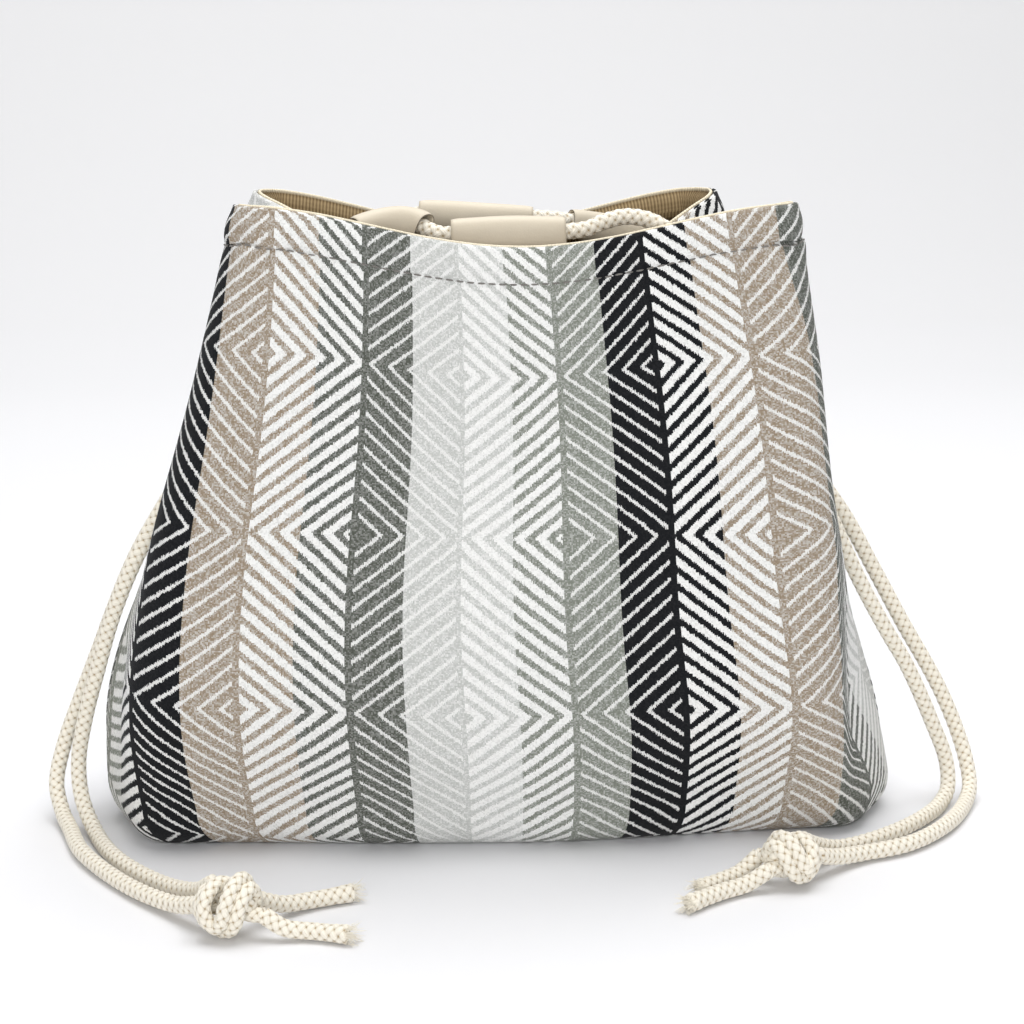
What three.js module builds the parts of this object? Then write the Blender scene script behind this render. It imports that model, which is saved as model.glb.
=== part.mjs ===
// Drawstring bag: a woven cloth bag with a lining, two drawcords in a casing round the mouth,
// and two short cord handles with leather sleeves. Millimetres, +Z up, front towards -Y,
// origin on the floor under the middle of the base.
import * as THREE from "three";

// Cloth, cord and clearances
const CLOTH = 1.2; // outer cloth
const LINING = 1.0; // lining cloth
const LAYER_GAP = 0.35; // between outer cloth and lining
const FREE = 0.3; // between any two pieces that touch on the real bag
const CORD_R = 2.5; // all cords
const THREAD_R = 0.4; // sewing thread of the casing
const SKIN = CLOTH + LAYER_GAP; // depth of the lining's outer face
const LINING_IN = SKIN + LINING; // depth of its inner face

// Finishes
const FINISH = {
  cloth: { color: 0xb5b2ab, roughness: 0.95, metalness: 0 },
  lining: { color: 0xddccab, roughness: 0.95, metalness: 0 },
  cord: { color: 0xece3cf, roughness: 0.9, metalness: 0 },
  thread: { color: 0xc9c8c4, roughness: 0.8, metalness: 0 },
  leather: { color: 0xcfc4b2, roughness: 0.55, metalness: 0 },
};

// Outer face of the bag: tables against height, from the floor (0) to the rim (1)
const HALF_WIDTH = 121; // from the middle to a front corner of the base
const HALF_DEPTH = 45;
const LEVEL = [0, 0.22, 0.45, 0.72, 1];
const wider = (by) => HALF_WIDTH + by;
const FRONT_X = [0, -4.4, -10.2, -13, -5.9].map(wider); // where front face and gusset would meet
const BACK_X = [-3.5, -7, -12, -19, -17.1].map(wider);
const CORNER_Y = [-8, 3, 3, 0.5, -3].map((by) => HALF_DEPTH + by);
const CORNER_RUN = [12, 11, 12, 20, 37]; // length of the rounding along each side
const SEAM_X = [13.6, 9.6, -7.7, -39.8, -82].map(wider); // the gusset's middle, folded in at the rim
const SEAM_RUN = [10, 11, 12, 10, 8.3];
const BOW = [5, 7, 7, 4, 0]; // bulge of the front and back faces
const LEAN = [1.5, -2.9, -3.3, -1.3, 0]; // sideways lean of the soft bag
const DENT_X = [0, 9, 1.5, 0, 0]; // the soft front sinks in at its right corner, this far to the left
const DENT_Y = [4, 2, 0, 0, 0]; // and this far back
const RIM_CORNER = 206; // rim height at the four corners
const RIM_SAG = 13; // drop of the rim at the middle of front and back
const RIM_FOLD = 16; // drop of the rim at the gusset fold
const ROLL = 14; // height of the rolled bottom edge
const ROLL_FACE = 12; // how far it rolls in under the front and back
const ROLL_END = 8.5; // and under the gussets
const TWIST = 0.104; // turn of the mouth against the base
const ROLL_TOP = ROLL / RIM_CORNER;

// Casing round the rim: the drawcord's place in it, and the lining that goes round behind the cord,
// each as a distance below the rim and a depth under the outer face
const CASING = 11.5;
const CORD_DOWN = CASING / 2;
const CORD_DEEP = CLOTH + FREE + CORD_R;
const BEHIND = CORD_DEEP + CORD_R + FREE + 0.1 - SKIN; // how far the lining stands off the cloth there
const CASING_LINING = [
  [CASING, SKIN],
  [CORD_DOWN + 1.55 * CORD_R, SKIN + 0.68 * BEHIND],
  [CORD_DOWN + 0.9 * CORD_R, SKIN + BEHIND],
  [CORD_DOWN - 0.9 * CORD_R, SKIN + BEHIND],
  [CORD_DOWN - 1.6 * CORD_R, SKIN + 0.57 * BEHIND],
  [0, SKIN],
];
const NOTCH = 14; // outer cloth left open each side of the side seam, for the cords
const NOTCH_EDGE = 0.4; // height of the notch's slanted lower edge
const CORD_IN = 2; // drawcord's end inside the notch
const THREAD_IN = 3; // casing thread's end inside the notch
const WALL_ROWS = [0.13, 0.27, 0.41, 0.55, 0.69, 0.82]; // heights at which the wall is shaped

// Handles
const HANDLE_TABS = 20; // top of a front tab below the rim
const REAR_TABS = 26; // top of a rear tab below the rim
const TAB_LONG = 12;
const TAB_WIDE = 16;
const TAB_T = 1.2;
const SLEEVE_WALL = 1.2;
const SLEEVE_HIGH = 11;
const SLEEVE_DEEP = 9;
const SLEEVE_HANG = 1; // a sleeve's axis below its cord's
const ARCH_SPAN = 22; // reach of each sleeve along the bag
const FRONT_GRIP = 36;
const REAR_GRIP = 37;
const REAR_SPAN = 24;
const STUB_RISE = 1.5; // straight run of a sewn cord end above its tab
const STUB_BEND = 0.45; // place of its bend, as a share of the way down from the hinge
const HINGE_NECK = 1.6; // straight run of the cord end under the hinge

const at = (x, y, z) => new THREE.Vector3(x, y, z);
const path = (list) =>
  new THREE.CatmullRomCurve3(
    list.map((p) => at(...p)),
    false,
    "centripetal",
  );

// Routes of the free cords, end to end
const ROUTE = {
  left_rear_strand: [
    [-53.85, 11.43, 185.9], [-51, 9.2, 184.9], [-49.6, 6.2, 184.6], [-51, 3.7, 184.2], [-54.5, 2.9, 183.8],
    [-60, 2.9, 181], [-65.2, 3, 174.5], [-70, 3.2, 165.5], [-84, 4, 147], [-99, 3.5, 124],
    [-112.5, 1.5, 103],
    [-121, 1, 88], [-128, 3, 72], [-134.5, 6, 55.5], [-141.5, 7, 38], [-147, 4, 23], [-149, -2, 12],
    [-146.5, -9.5, 4.8], [-142, -24, 3], [-135.5, -46.5, 3], [-118, -78, 3], [-102, -99, 4.6],
    [-94.6, -108.6, 7.9],
  ],
  left_front_strand: [
    [-54.05, -11.29, 186], [-51.2, -9.1, 184.9], [-49.6, -6.2, 184.6], [-51, -3.7, 184.2],
    [-54.8, -2.7, 184.2],
    [-60.8, -2.7, 181], [-66.2, -2.7, 174.5], [-71.4, -2.9, 165.5], [-85, -4, 147], [-99, -5.6, 124],
    [-112.5, -7.2, 103], [-121.5, -8.5, 86], [-128, -8.6, 70], [-133.5, -8, 52], [-138, -7.5, 36],
    [-140.5, -9, 22], [-139.5, -13.5, 11.5], [-134.5, -25, 3.9], [-123.5, -54, 3], [-107, -77.5, 3],
    [-96.4, -92.6, 6.4], [-90.5, -103.8, 12.8],
  ],
  right_rear_strand: [
    [52.58, 11.9, 186.34], [49.8, 9.4, 185], [48.8, 6.2, 184.6], [50.4, 3.7, 184.2], [54, 2.9, 183.8],
    [59.5, 2.9, 181], [64.7, 3, 174.5], [70, 3.4, 165.5], [83, 4.4, 147], [98, 4.8, 124], [116, 5, 99],
    [127.5, 7, 79], [137, 8, 62], [152, 9, 36], [159.5, 6, 17], [161, 0, 6.4], [158, -9, 3],
    [144.5, -35.7, 3], [127.5, -54, 3], [111, -62.5, 3.3], [101.5, -70, 5], [94.2, -77.4, 8.1],
  ],
  right_front_strand: [
    [54.55, -10.86, 185.83], [51.3, -8.9, 184.8], [49.4, -6.2, 184.6], [50.6, -3.7, 184.2],
    [54.4, -2.7, 184.2],
    [60.8, -2.7, 181], [66, -2.7, 174.5], [71.4, -2.9, 165.5], [83, -4.6, 147], [98, -6, 124],
    [109.5, -6.5, 100],
    [119.5, -6.5, 79], [129, -5, 62], [137.5, -2.5, 48], [147, 0, 28], [152.5, 0, 14], [152.5, -4, 5.8],
    [148.5, -12, 3], [137, -30, 3], [120, -47, 3], [105, -57.5, 3.6], [96.3, -65.6, 7.4], [90.1, -72.9, 12],
  ],
  left_rear_tail: [
    [-77.2, -106.9, 8.6], [-70.5, -100, 4.4], [-62, -93.5, 3], [-50, -88, 3],
  ],
  left_front_tail: [
    [-75.1, -117.4, 7.6], [-69, -118.4, 4], [-61, -118.8, 3], [-51, -122, 3],
  ],
  right_front_tail: [
    [77.4, -86.2, 6.8], [70.5, -88.2, 3.4], [62, -93.4, 3], [51.2, -102.6, 3],
  ],
  right_rear_tail: [
    [76, -76.7, 8.4], [70, -78.6, 3.8], [63, -84, 3], [56, -90.2, 3],
  ],
};
const KNOTS = {
  left_knot: { middle: [-85.5, -114, 9.7], half: [10, 10, 9.5] },
  right_knot: { middle: [85.4, -81.5, 9], half: [8.6, 8.6, 8.6] },
};

// Handle cords from hinge point to hinge point, as x, distance in from the outer face at the rim and
// height against the rim's corners; and each sleeve's left end, its reach and the number of its rings
const HANDLES = {
  front: {
    side: -1,
    tabs: HANDLE_TABS,
    route: [
      [-52, 11.7, -10], [-48, 14.4, -8.6], [-40, 19.4, -6.8], [-32.5, 21.2, -6.1], [-27, 20, -7],
      [-23.4, 17.2, -8.6], [-20, 15.3, -9.6], [-17, 15, -9.65], [0, 14.95, -9.1], [25, 14.9, -8.3],
      [31, 15.4, -6], [38, 15.6, -4.4], [45, 14.4, -5.4], [50, 12.6, -8], [52, 11.7, -10],
    ],
    sleeves: {
      front_left_sleeve: { from: -47, reach: ARCH_SPAN, rings: 7 },
      front_right_sleeve: { from: -17, reach: FRONT_GRIP, rings: 2 },
    },
  },
  rear: {
    side: 1,
    tabs: REAR_TABS,
    route: [
      [-54, 14, -16], [-50.5, 19, -13.6], [-43, 27, -9.8], [-35, 33, -7.2], [-27, 35.7, -6],
      [-6, 36.8, -6.6], [17, 38, -7.3], [22.5, 37, -8.1], [35, 31.5, -10.6], [47, 25, -13],
      [52.5, 20, -14.6], [55, 14, -16],
    ],
    sleeves: {
      rear_left_sleeve: { from: -26, reach: REAR_GRIP, rings: 2 },
      rear_right_sleeve: { from: 23, reach: REAR_SPAN, rings: 2 },
    },
  },
};

const root = new THREE.Group();
function add(name, finish, geometry) {
  const mesh = new THREE.Mesh(geometry, new THREE.MeshStandardMaterial(FINISH[finish]));
  mesh.name = name;
  root.add(mesh);
}

// A closed mesh from corner points and faces of three or more corners each.
function closed(points, faces) {
  const g = new THREE.BufferGeometry();
  const flat = points.flatMap((p) => [p.x, p.y, p.z]);
  g.setAttribute("position", new THREE.Float32BufferAttribute(flat, 3));
  const index = faces.flatMap((f) =>
    f.slice(2).flatMap((_, k) => [f[0], f[k + 1], f[k + 2]]),
  );
  return g.setIndex(index);
}

// A table of the bag against height, as a smooth curve through its five values.
function level(table, v) {
  const slope = table.map((_, i) => {
    if (i === 0) return (table[1] - table[0]) / (LEVEL[1] - LEVEL[0]);
    if (i === 4) return (table[4] - table[3]) / (LEVEL[4] - LEVEL[3]);
    const a = LEVEL[i] - LEVEL[i - 1];
    const b = LEVEL[i + 1] - LEVEL[i];
    const low = (table[i] - table[i - 1]) / a;
    const high = (table[i + 1] - table[i]) / b;
    return (low * b + high * a) / (a + b);
  });
  const i = Math.max(0, Math.min(3, LEVEL.findLastIndex((x) => x <= v)));
  const h = LEVEL[i + 1] - LEVEL[i];
  const t = (v - LEVEL[i]) / h;
  const u = 1 - t;
  return (
    u * u * (1 + 2 * t) * table[i] +
    u * u * t * h * slope[i] +
    t * t * (1 + 2 * u) * table[i + 1] -
    t * t * u * h * slope[i + 1]
  );
}

// A soft step from 0 to 1.
function ease(t) {
  const c = Math.min(1, Math.max(0, t));
  return c * c * (3 - 2 * c);
}

// Point t of the arc that rounds corner b between a and c.
function arc(a, b, c, t) {
  const p = a.clone().sub(b);
  const q = c.clone().sub(b);
  const cos = p.dot(q) / (p.length() * q.length());
  const w = Math.sqrt(Math.max(0, (1 - cos) / 2));
  const k = [(1 - t) * (1 - t), 2 * w * t * (1 - t), t * t];
  const sum = k[0] + k[1] + k[2];
  return at(
    (k[0] * a.x + k[1] * b.x + k[2] * c.x) / sum,
    (k[0] * a.y + k[1] * b.y + k[2] * c.y) / sum,
    0,
  );
}

// Front (side -1) or back (side 1) half of the outline at height v, from left seam to right seam.
const SEAM_FROM = 0.52; // each half starts just past the middle of the seam's arc
const ON_SEAM = 2;
const ON_GUSSET = 2;
const ON_CORNER = 4;
const ON_FACE = 5; // each side of the middle
const CORNER_FROM = ON_SEAM + ON_GUSSET;
const CORNER_AT = CORNER_FROM + ON_CORNER / 2;
function outline(v, side) {
  const x = level(side < 0 ? FRONT_X : BACK_X, v);
  const corner = at(x, side * level(CORNER_Y, v), 0);
  const far = at(x, -corner.y, 0);
  const seam = at(level(SEAM_X, v), 0, 0);
  const run = level(CORNER_RUN, v);
  const near = (from, to, d) => from.clone().lerp(to, d / from.distanceTo(to));
  const seamNear = near(seam, corner, level(SEAM_RUN, v));
  const seamFar = near(seam, far, level(SEAM_RUN, v));
  const gusset = near(corner, seam, run);
  const face = at(x - run, corner.y, 0);
  const right = [];
  for (let i = 0; i < ON_SEAM; i++)
    right.push(arc(seamFar, seam, seamNear, SEAM_FROM + ((1 - SEAM_FROM) * i) / ON_SEAM));
  for (let i = 0; i < ON_GUSSET; i++)
    right.push(seamNear.clone().lerp(gusset, i / ON_GUSSET));
  for (let i = 0; i < ON_CORNER; i++)
    right.push(arc(gusset, corner, face, i / ON_CORNER));
  for (let i = 0; i <= ON_FACE; i++) {
    const a = 1 - i / ON_FACE;
    const bulge = level(BOW, v) * (1 - a * a) ** 2;
    right.push(at(face.x * a, face.y + side * bulge, 0));
  }
  const left = right.slice(0, -1).map((p) => at(-p.x, p.y, 0));
  if (side < 0)
    for (const p of right) {
      const share = ease(p.x / x) * ease(p.y / corner.y);
      p.add(at(-level(DENT_X, v) * share, level(DENT_Y, v) * share, 0));
    }
  return [...left, ...right.reverse()];
}

function lengths(points) {
  const s = [0];
  for (let i = 1; i < points.length; i++)
    s.push(s[i - 1] + points[i].distanceTo(points[i - 1]));
  return s;
}

// Rim height above the floor at each point of a half outline.
function rimHeights(side) {
  const s = lengths(outline(1, side));
  const end = s.length - 1;
  const a = s[CORNER_AT];
  const b = s[end - CORNER_AT];
  return s.map((d) => {
    if (d < a) return RIM_CORNER - RIM_FOLD * ease(1 - d / a);
    if (d > b) return RIM_CORNER - RIM_FOLD * ease((d - b) / (s[end] - b));
    const along = (2 * (d - a)) / (b - a) - 1;
    return RIM_CORNER - RIM_SAG * (0.5 + 0.5 * Math.cos(Math.PI * along));
  });
}

// Slide the points of a half outline away from both seams, by a length at the seam itself.
function openSeams(points, by) {
  const s = lengths(points);
  const end = s.length - 1;
  const keep = Math.min(s[CORNER_FROM], s[end] - s[end - CORNER_FROM]);
  const place = (d) => {
    const i = Math.min(end - 1, Math.max(0, s.findLastIndex((x) => x <= d)));
    return points[i].clone().lerp(points[i + 1], (d - s[i]) / (s[i + 1] - s[i]));
  };
  return points.map((p, i) => {
    if (s[i] < keep) return place(by + (s[i] * (keep - by)) / keep);
    const back = s[end] - s[i];
    if (back < keep) return place(s[end] - by - (back * (keep - by)) / keep);
    return p;
  });
}

// One row of the outer face: its points and outward normals at height v.
const RIM = { "-1": rimHeights(-1), 1: rimHeights(1) };
const RISE = 0.004; // step in height that gives the slope of the wall
function rawRow(v, side) {
  const plan = outline(Math.max(v, ROLL_TOP), side);
  const normals = plan.map((_, i) => {
    const d = plan[Math.min(i + 1, plan.length - 1)].clone().sub(plan[Math.max(i - 1, 0)]);
    const seam = i === 0 || i === plan.length - 1; // here it lies across the seam
    return at(d.y, seam ? 0 : -d.x, 0).multiplyScalar(-side).normalize();
  });
  const turn = v < ROLL_TOP ? Math.acos(1 - v / ROLL_TOP) : Math.PI / 2;
  const inset = normals.map((n) => ROLL_END + (ROLL_FACE - ROLL_END) * n.y * n.y);
  const points = plan.map((p, i) => {
    const q = p.clone().addScaledVector(normals[i], -inset[i] * (1 - Math.sin(turn)));
    const lean = level(LEAN, v) - TWIST * q.y * v ** 1.5;
    return at(q.x + lean, q.y, v * RIM[side][i]);
  });
  return { points, normals, turn, inset };
}
function row(v, side) {
  const r = rawRow(v, side);
  if (v < ROLL_TOP) {
    r.normals = r.normals.map((n, i) => {
      const out = n.clone().multiplyScalar(ROLL * Math.sin(r.turn));
      return out.add(at(0, 0, -r.inset[i] * Math.cos(r.turn))).normalize();
    });
    return r;
  }
  const low = rawRow(v - RISE, side).points;
  r.normals = r.points.map((p, i, all) => {
    const round = all[Math.min(i + 1, all.length - 1)].clone().sub(all[Math.max(i - 1, 0)]);
    const rise = p.clone().sub(low[i]);
    const n = round.cross(rise).multiplyScalar(-side);
    if (i === 0 || i === all.length - 1) n.y = 0;
    return n.normalize();
  });
  return r;
}

// Height of a line below the rim, as a share of the full height.
const below = (d) => 1 - d / RIM_CORNER;

// A layer of one half of the bag between two depths under the outer face.
function layer(side, rows) {
  const faces = [[], []];
  for (const { v, from, to, open } of rows) {
    const r = row(v, side);
    [from, to].forEach((depth, k) => {
      let line = r.points.map((p, i) => p.clone().addScaledVector(r.normals[i], -depth));
      if (open) line = openSeams(line, open);
      faces[k].push(line);
    });
  }
  const n = faces[0][0].length;
  const m = rows.length;
  const points = faces.flat(2);
  const id = (k, j, i) => (k * m + j) * n + i;
  const quads = [];
  const quad = (...q) => quads.push(side < 0 ? q : q.reverse());
  for (let j = 0; j + 1 < m; j++) {
    for (let i = 0; i + 1 < n; i++) {
      quad(id(0, j, i), id(0, j, i + 1), id(0, j + 1, i + 1), id(0, j + 1, i));
      quad(id(1, j, i), id(1, j + 1, i), id(1, j + 1, i + 1), id(1, j, i + 1));
    }
    quad(id(0, j, 0), id(0, j + 1, 0), id(1, j + 1, 0), id(1, j, 0));
    quad(id(0, j, n - 1), id(1, j, n - 1), id(1, j + 1, n - 1), id(0, j + 1, n - 1));
  }
  for (let i = 0; i + 1 < n; i++) {
    quad(id(0, 0, i), id(1, 0, i), id(1, 0, i + 1), id(0, 0, i + 1));
    quad(id(0, m - 1, i), id(0, m - 1, i + 1), id(1, m - 1, i + 1), id(1, m - 1, i));
  }
  return closed(points, quads);
}

const ROLL_ROWS = [0, 24, 46, 68].map((d) => (1 - Math.cos((d * Math.PI) / 180)) * ROLL_TOP);
const BODY_ROWS = [...ROLL_ROWS, ROLL_TOP, ...WALL_ROWS];
for (const [name, side] of [["front", -1], ["back", 1]]) {
  const outer = [...BODY_ROWS.map((v) => ({ v, open: 0 })), { v: below(CASING), open: 0 }];
  for (const down of [CASING - NOTCH_EDGE, CORD_DOWN, 0])
    outer.push({ v: below(down), open: NOTCH });
  add(`${name}_panel`, "cloth", layer(side, outer.map((r) => ({ ...r, from: 0, to: CLOTH }))));
  const inner = BODY_ROWS.map((v) => [v, SKIN]);
  inner.push(...CASING_LINING.map(([down, depth]) => [below(down), depth]));
  add(`${name}_lining`, "lining", layer(side, inner.map(([v, d]) => ({ v, from: d, to: d + LINING }))));
}

// The base: a flat panel and its lining, inside the roll of the walls.
function base(low, thick) {
  const half = (side) => {
    const r = rawRow(0, side);
    return r.points.map((p, i) => p.clone().addScaledVector(r.normals[i], -LAYER_GAP));
  };
  const ring = [...half(-1), ...half(1).reverse()];
  const shape = new THREE.Shape(ring.map((p) => new THREE.Vector2(p.x, p.y)));
  const plate = new THREE.ExtrudeGeometry(shape, { depth: thick, bevelEnabled: false });
  return plate.translate(0, 0, low);
}
add("base_panel", "cloth", base(0, CLOTH));
add("base_lining", "lining", base(SKIN, LINING));

// Frames along a line of points: the tangent, and two directions across it.
function framesOf(points, up) {
  const frames = [];
  let side = null;
  points.forEach((p, i) => {
    const ahead = points[Math.min(i + 1, points.length - 1)];
    const tangent = ahead.clone().sub(points[Math.max(i - 1, 0)]).normalize();
    const guide = up ?? side ?? (Math.abs(tangent.z) < 0.9 ? at(0, 0, 1) : at(1, 0, 0));
    side = guide.clone().addScaledVector(tangent, -guide.dot(tangent)).normalize();
    frames.push({ p, tangent, side, across: tangent.clone().cross(side) });
  });
  return frames;
}

// A round cord along points. A domed end is half a ball about the end point.
function cord(points, radius, { sides = 8, domes = [false, false] } = {}) {
  const frames = framesOf(points);
  const rings = frames.map((f) => ({ f, move: 0, r: radius }));
  const dome = (f, way) => [35, 65].map((deg) => {
    const a = (deg * Math.PI) / 180;
    return { f, move: way * radius * Math.sin(a), r: radius * Math.cos(a) };
  });
  if (domes[0]) rings.unshift(...dome(frames[0], -1).reverse());
  if (domes[1]) rings.push(...dome(frames[frames.length - 1], 1));
  const ends = rings.length - 1;
  const corners = rings.flatMap(({ f, move, r }) =>
    Array.from({ length: sides }, (_, k) => {
      const a = (2 * Math.PI * k) / sides;
      return f.p.clone().addScaledVector(f.tangent, move)
        .addScaledVector(f.side, r * Math.cos(a))
        .addScaledVector(f.across, r * Math.sin(a));
    }),
  );
  const faces = [];
  for (let j = 0; j < ends; j++)
    for (let k = 0; k < sides; k++) {
      const n = (k + 1) % sides;
      faces.push([j * sides + k, j * sides + n, (j + 1) * sides + n, (j + 1) * sides + k]);
    }
  const first = Array.from({ length: sides }, (_, k) => k);
  faces.push([...first].reverse(), first.map((k) => ends * sides + k));
  return closed(corners, faces);
}

// The drawcords inside the casing, and the thread that closes it.
for (const [name, side] of [["front", -1], ["back", 1]]) {
  const r = row(below(CORD_DOWN), side);
  const inside = r.points.map((p, i) => p.clone().addScaledVector(r.normals[i], -CORD_DEEP));
  add(`${name}_drawcord`, "cord", cord(openSeams(inside, NOTCH + CORD_IN), CORD_R));
  const s = row(below(CASING), side);
  const lift = THREAD_R + LAYER_GAP;
  const thread = s.points.map((p, i) => p.clone().addScaledVector(s.normals[i], lift));
  const sewn = openSeams(thread, NOTCH + THREAD_IN);
  add(`${name}_casing_thread`, "thread", cord(sewn, THREAD_R, { sides: 6 }));
}

// Free ends of the drawcords: strands down to the knots, and tails beyond them.
for (const [name, list] of Object.entries(ROUTE)) {
  const line = path(list);
  add(name, "cord", cord(line.getPoints(2 * (list.length - 1)), CORD_R));
}
for (const [name, { middle, half }] of Object.entries(KNOTS)) {
  const ball = new THREE.SphereGeometry(1, 12, 8);
  add(name, "cord", ball.scale(...half).translate(...middle));
}

// A point on the front or back face by its x before the twist, with its own directions.
function spot(side, x, v) {
  const point = (px, pv) => {
    const edge = level(side < 0 ? FRONT_X : BACK_X, pv) - level(CORNER_RUN, pv);
    const bulge = level(BOW, pv) * (1 - (px / edge) ** 2) ** 2;
    const y = side * (level(CORNER_Y, pv) + bulge);
    const a = outline(1, side);
    const last = a.length - 1 - CORNER_FROM - ON_CORNER;
    const i = a.findLastIndex((q, k) => k < last && k > CORNER_AT && q.x <= px);
    const t = (px - a[i].x) / (a[i + 1].x - a[i].x);
    const rim = RIM[side][i] + t * (RIM[side][i + 1] - RIM[side][i]);
    return at(px + level(LEAN, pv) - TWIST * y * pv ** 1.5, y, pv * rim);
  };
  const p = point(x, v);
  const up = point(x, v + 0.01).sub(p).normalize();
  const along = point(x + 1, v).sub(p).multiplyScalar(-side).normalize();
  const inward = up.clone().cross(along).normalize();
  return { p, up, along: inward.clone().cross(up), inward };
}

// A leather tab sewn over the end of a handle cord, as a bridge with two flanges.
function tab(s) {
  const hole = CORD_R + FREE;
  const axis = FREE + CORD_R;
  const wide = TAB_WIDE / 2;
  const shape = new THREE.Shape();
  shape.moveTo(-wide, FREE);
  shape.lineTo(-hole, FREE);
  shape.lineTo(-hole, axis);
  shape.absarc(0, axis, hole, Math.PI, 0, true);
  shape.lineTo(hole, FREE);
  shape.lineTo(wide, FREE);
  shape.lineTo(wide, FREE + TAB_T);
  shape.lineTo(hole + TAB_T, FREE + TAB_T);
  shape.lineTo(hole + TAB_T, axis);
  shape.absarc(0, axis, hole + TAB_T, 0, Math.PI, false);
  shape.lineTo(-hole - TAB_T, FREE + TAB_T);
  shape.lineTo(-wide, FREE + TAB_T);
  const g = new THREE.ExtrudeGeometry(shape, { depth: TAB_LONG, bevelEnabled: false, curveSegments: 6 });
  const floor = s.p.clone().addScaledVector(s.inward, LINING_IN + FREE);
  const basis = new THREE.Matrix4().makeBasis(s.along, s.inward, s.up).setPosition(floor);
  return g.translate(0, 0, -TAB_LONG).applyMatrix4(basis);
}

// An oval leather tube along points, with room for the cord near its top.
function sleeve(points) {
  const frames = framesOf(points, at(0, 0, 1));
  const sides = 12;
  const rings = [0, SLEEVE_WALL].map((wall) =>
    frames.map((f) =>
      Array.from({ length: sides }, (_, k) => {
        const a = (2 * Math.PI * k) / sides;
        return f.p.clone()
          .addScaledVector(f.side, (SLEEVE_HIGH / 2 - wall) * Math.cos(a) - SLEEVE_HANG)
          .addScaledVector(f.across, (SLEEVE_DEEP / 2 - wall) * Math.sin(a));
      }),
    ),
  );
  const m = frames.length;
  const id = (w, j, k) => (w * m + j) * sides + (k % sides);
  const faces = [];
  for (let k = 0; k < sides; k++) {
    for (let j = 0; j + 1 < m; j++) {
      faces.push([id(0, j, k), id(0, j, k + 1), id(0, j + 1, k + 1), id(0, j + 1, k)]);
      faces.push([id(1, j, k), id(1, j + 1, k), id(1, j + 1, k + 1), id(1, j, k + 1)]);
    }
    faces.push([id(0, 0, k), id(1, 0, k), id(1, 0, k + 1), id(0, 0, k + 1)]);
    faces.push([id(0, m - 1, k), id(0, m - 1, k + 1), id(1, m - 1, k + 1), id(1, m - 1, k)]);
  }
  return closed(rings.flat(2), faces);
}

// Handles: a cord between two hinge points, sleeves on it, and at each end a sewn-down stub with its tab.
const FACET = 4.5; // length of a step along a handle cord
const FINE = 400; // points tried for the ends of a sleeve
for (const [name, { side, tabs, route, sleeves }] of Object.entries(HANDLES)) {
  const rimFace = level(CORNER_Y, 1);
  const places = route.map(([x, inset, up]) => [x, side * (rimFace - inset), RIM_CORNER + up]);
  const line = path(places);
  const points = line.getSpacedPoints(Math.round(line.getLength() / FACET));
  add(`${name}_handle_cord`, "cord", cord(points, CORD_R, { domes: [true, true] }));
  for (const [sleeveName, { from, reach, rings }] of Object.entries(sleeves)) {
    const along = line.getSpacedPoints(FINE).filter((p) => p.x >= from && p.x <= from + reach);
    const step = (along.length - 1) / (rings - 1);
    const picked = Array.from({ length: rings }, (_, k) => along[Math.round(k * step)]);
    add(sleeveName, "leather", sleeve(picked));
  }
  [places[0], places[places.length - 1]].forEach(([x, y, z], k) => {
    const where = `${name}_${k ? "right" : "left"}`;
    const anchor = spot(side, x + side * TWIST * rimFace, below(tabs));
    add(`${where}_tab`, "leather", tab(anchor));
    const sewn = anchor.p.clone().addScaledVector(anchor.inward, LINING_IN + 2 * FREE + CORD_R);
    const end = at(x, y, z - CORD_R - LAYER_GAP);
    const stub = [
      sewn.clone().addScaledVector(anchor.up, -TAB_LONG),
      sewn.clone().addScaledVector(anchor.up, -TAB_LONG / 2),
      sewn.clone().addScaledVector(anchor.up, STUB_RISE),
      end.clone().lerp(sewn, STUB_BEND),
      end.clone().add(at(0, 0, -HINGE_NECK)),
      end,
    ];
    const curve = new THREE.CatmullRomCurve3(stub, false, "centripetal");
    add(`${where}_handle_end`, "cord", cord(curve.getSpacedPoints(10), CORD_R));
  });
}

export default root;
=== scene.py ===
"""A woven drawstring bag with a ribbed lining, knotted cotton drawcords and two short cord handles in
leather sleeves, dressed around its packed frame. Metres, +Z up, front towards -Y."""

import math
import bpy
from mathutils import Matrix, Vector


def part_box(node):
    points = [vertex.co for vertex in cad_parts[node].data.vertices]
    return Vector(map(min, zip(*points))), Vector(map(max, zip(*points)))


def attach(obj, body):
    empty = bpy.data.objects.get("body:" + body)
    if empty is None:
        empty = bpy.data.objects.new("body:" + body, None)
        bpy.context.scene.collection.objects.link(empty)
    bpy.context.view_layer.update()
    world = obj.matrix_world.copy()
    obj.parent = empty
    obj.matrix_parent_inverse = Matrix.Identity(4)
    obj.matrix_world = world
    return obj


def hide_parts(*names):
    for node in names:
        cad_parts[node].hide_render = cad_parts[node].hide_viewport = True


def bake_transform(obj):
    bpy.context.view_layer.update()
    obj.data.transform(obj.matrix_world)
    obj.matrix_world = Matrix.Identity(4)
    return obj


bl_info = {
    "name": "Drawstring bag",
    "version": (1, 0, 0),
    "blender": (4, 5, 0),
    "location": "View3D > Sidebar > Bag",
    "description": "Cloth, cords, leather and stage of a drawstring bag",
    "category": "Object",
}

import bpy
import numpy as np
from bpy.props import FloatProperty, FloatVectorProperty, IntProperty, PointerProperty
from mathutils import Vector

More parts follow.
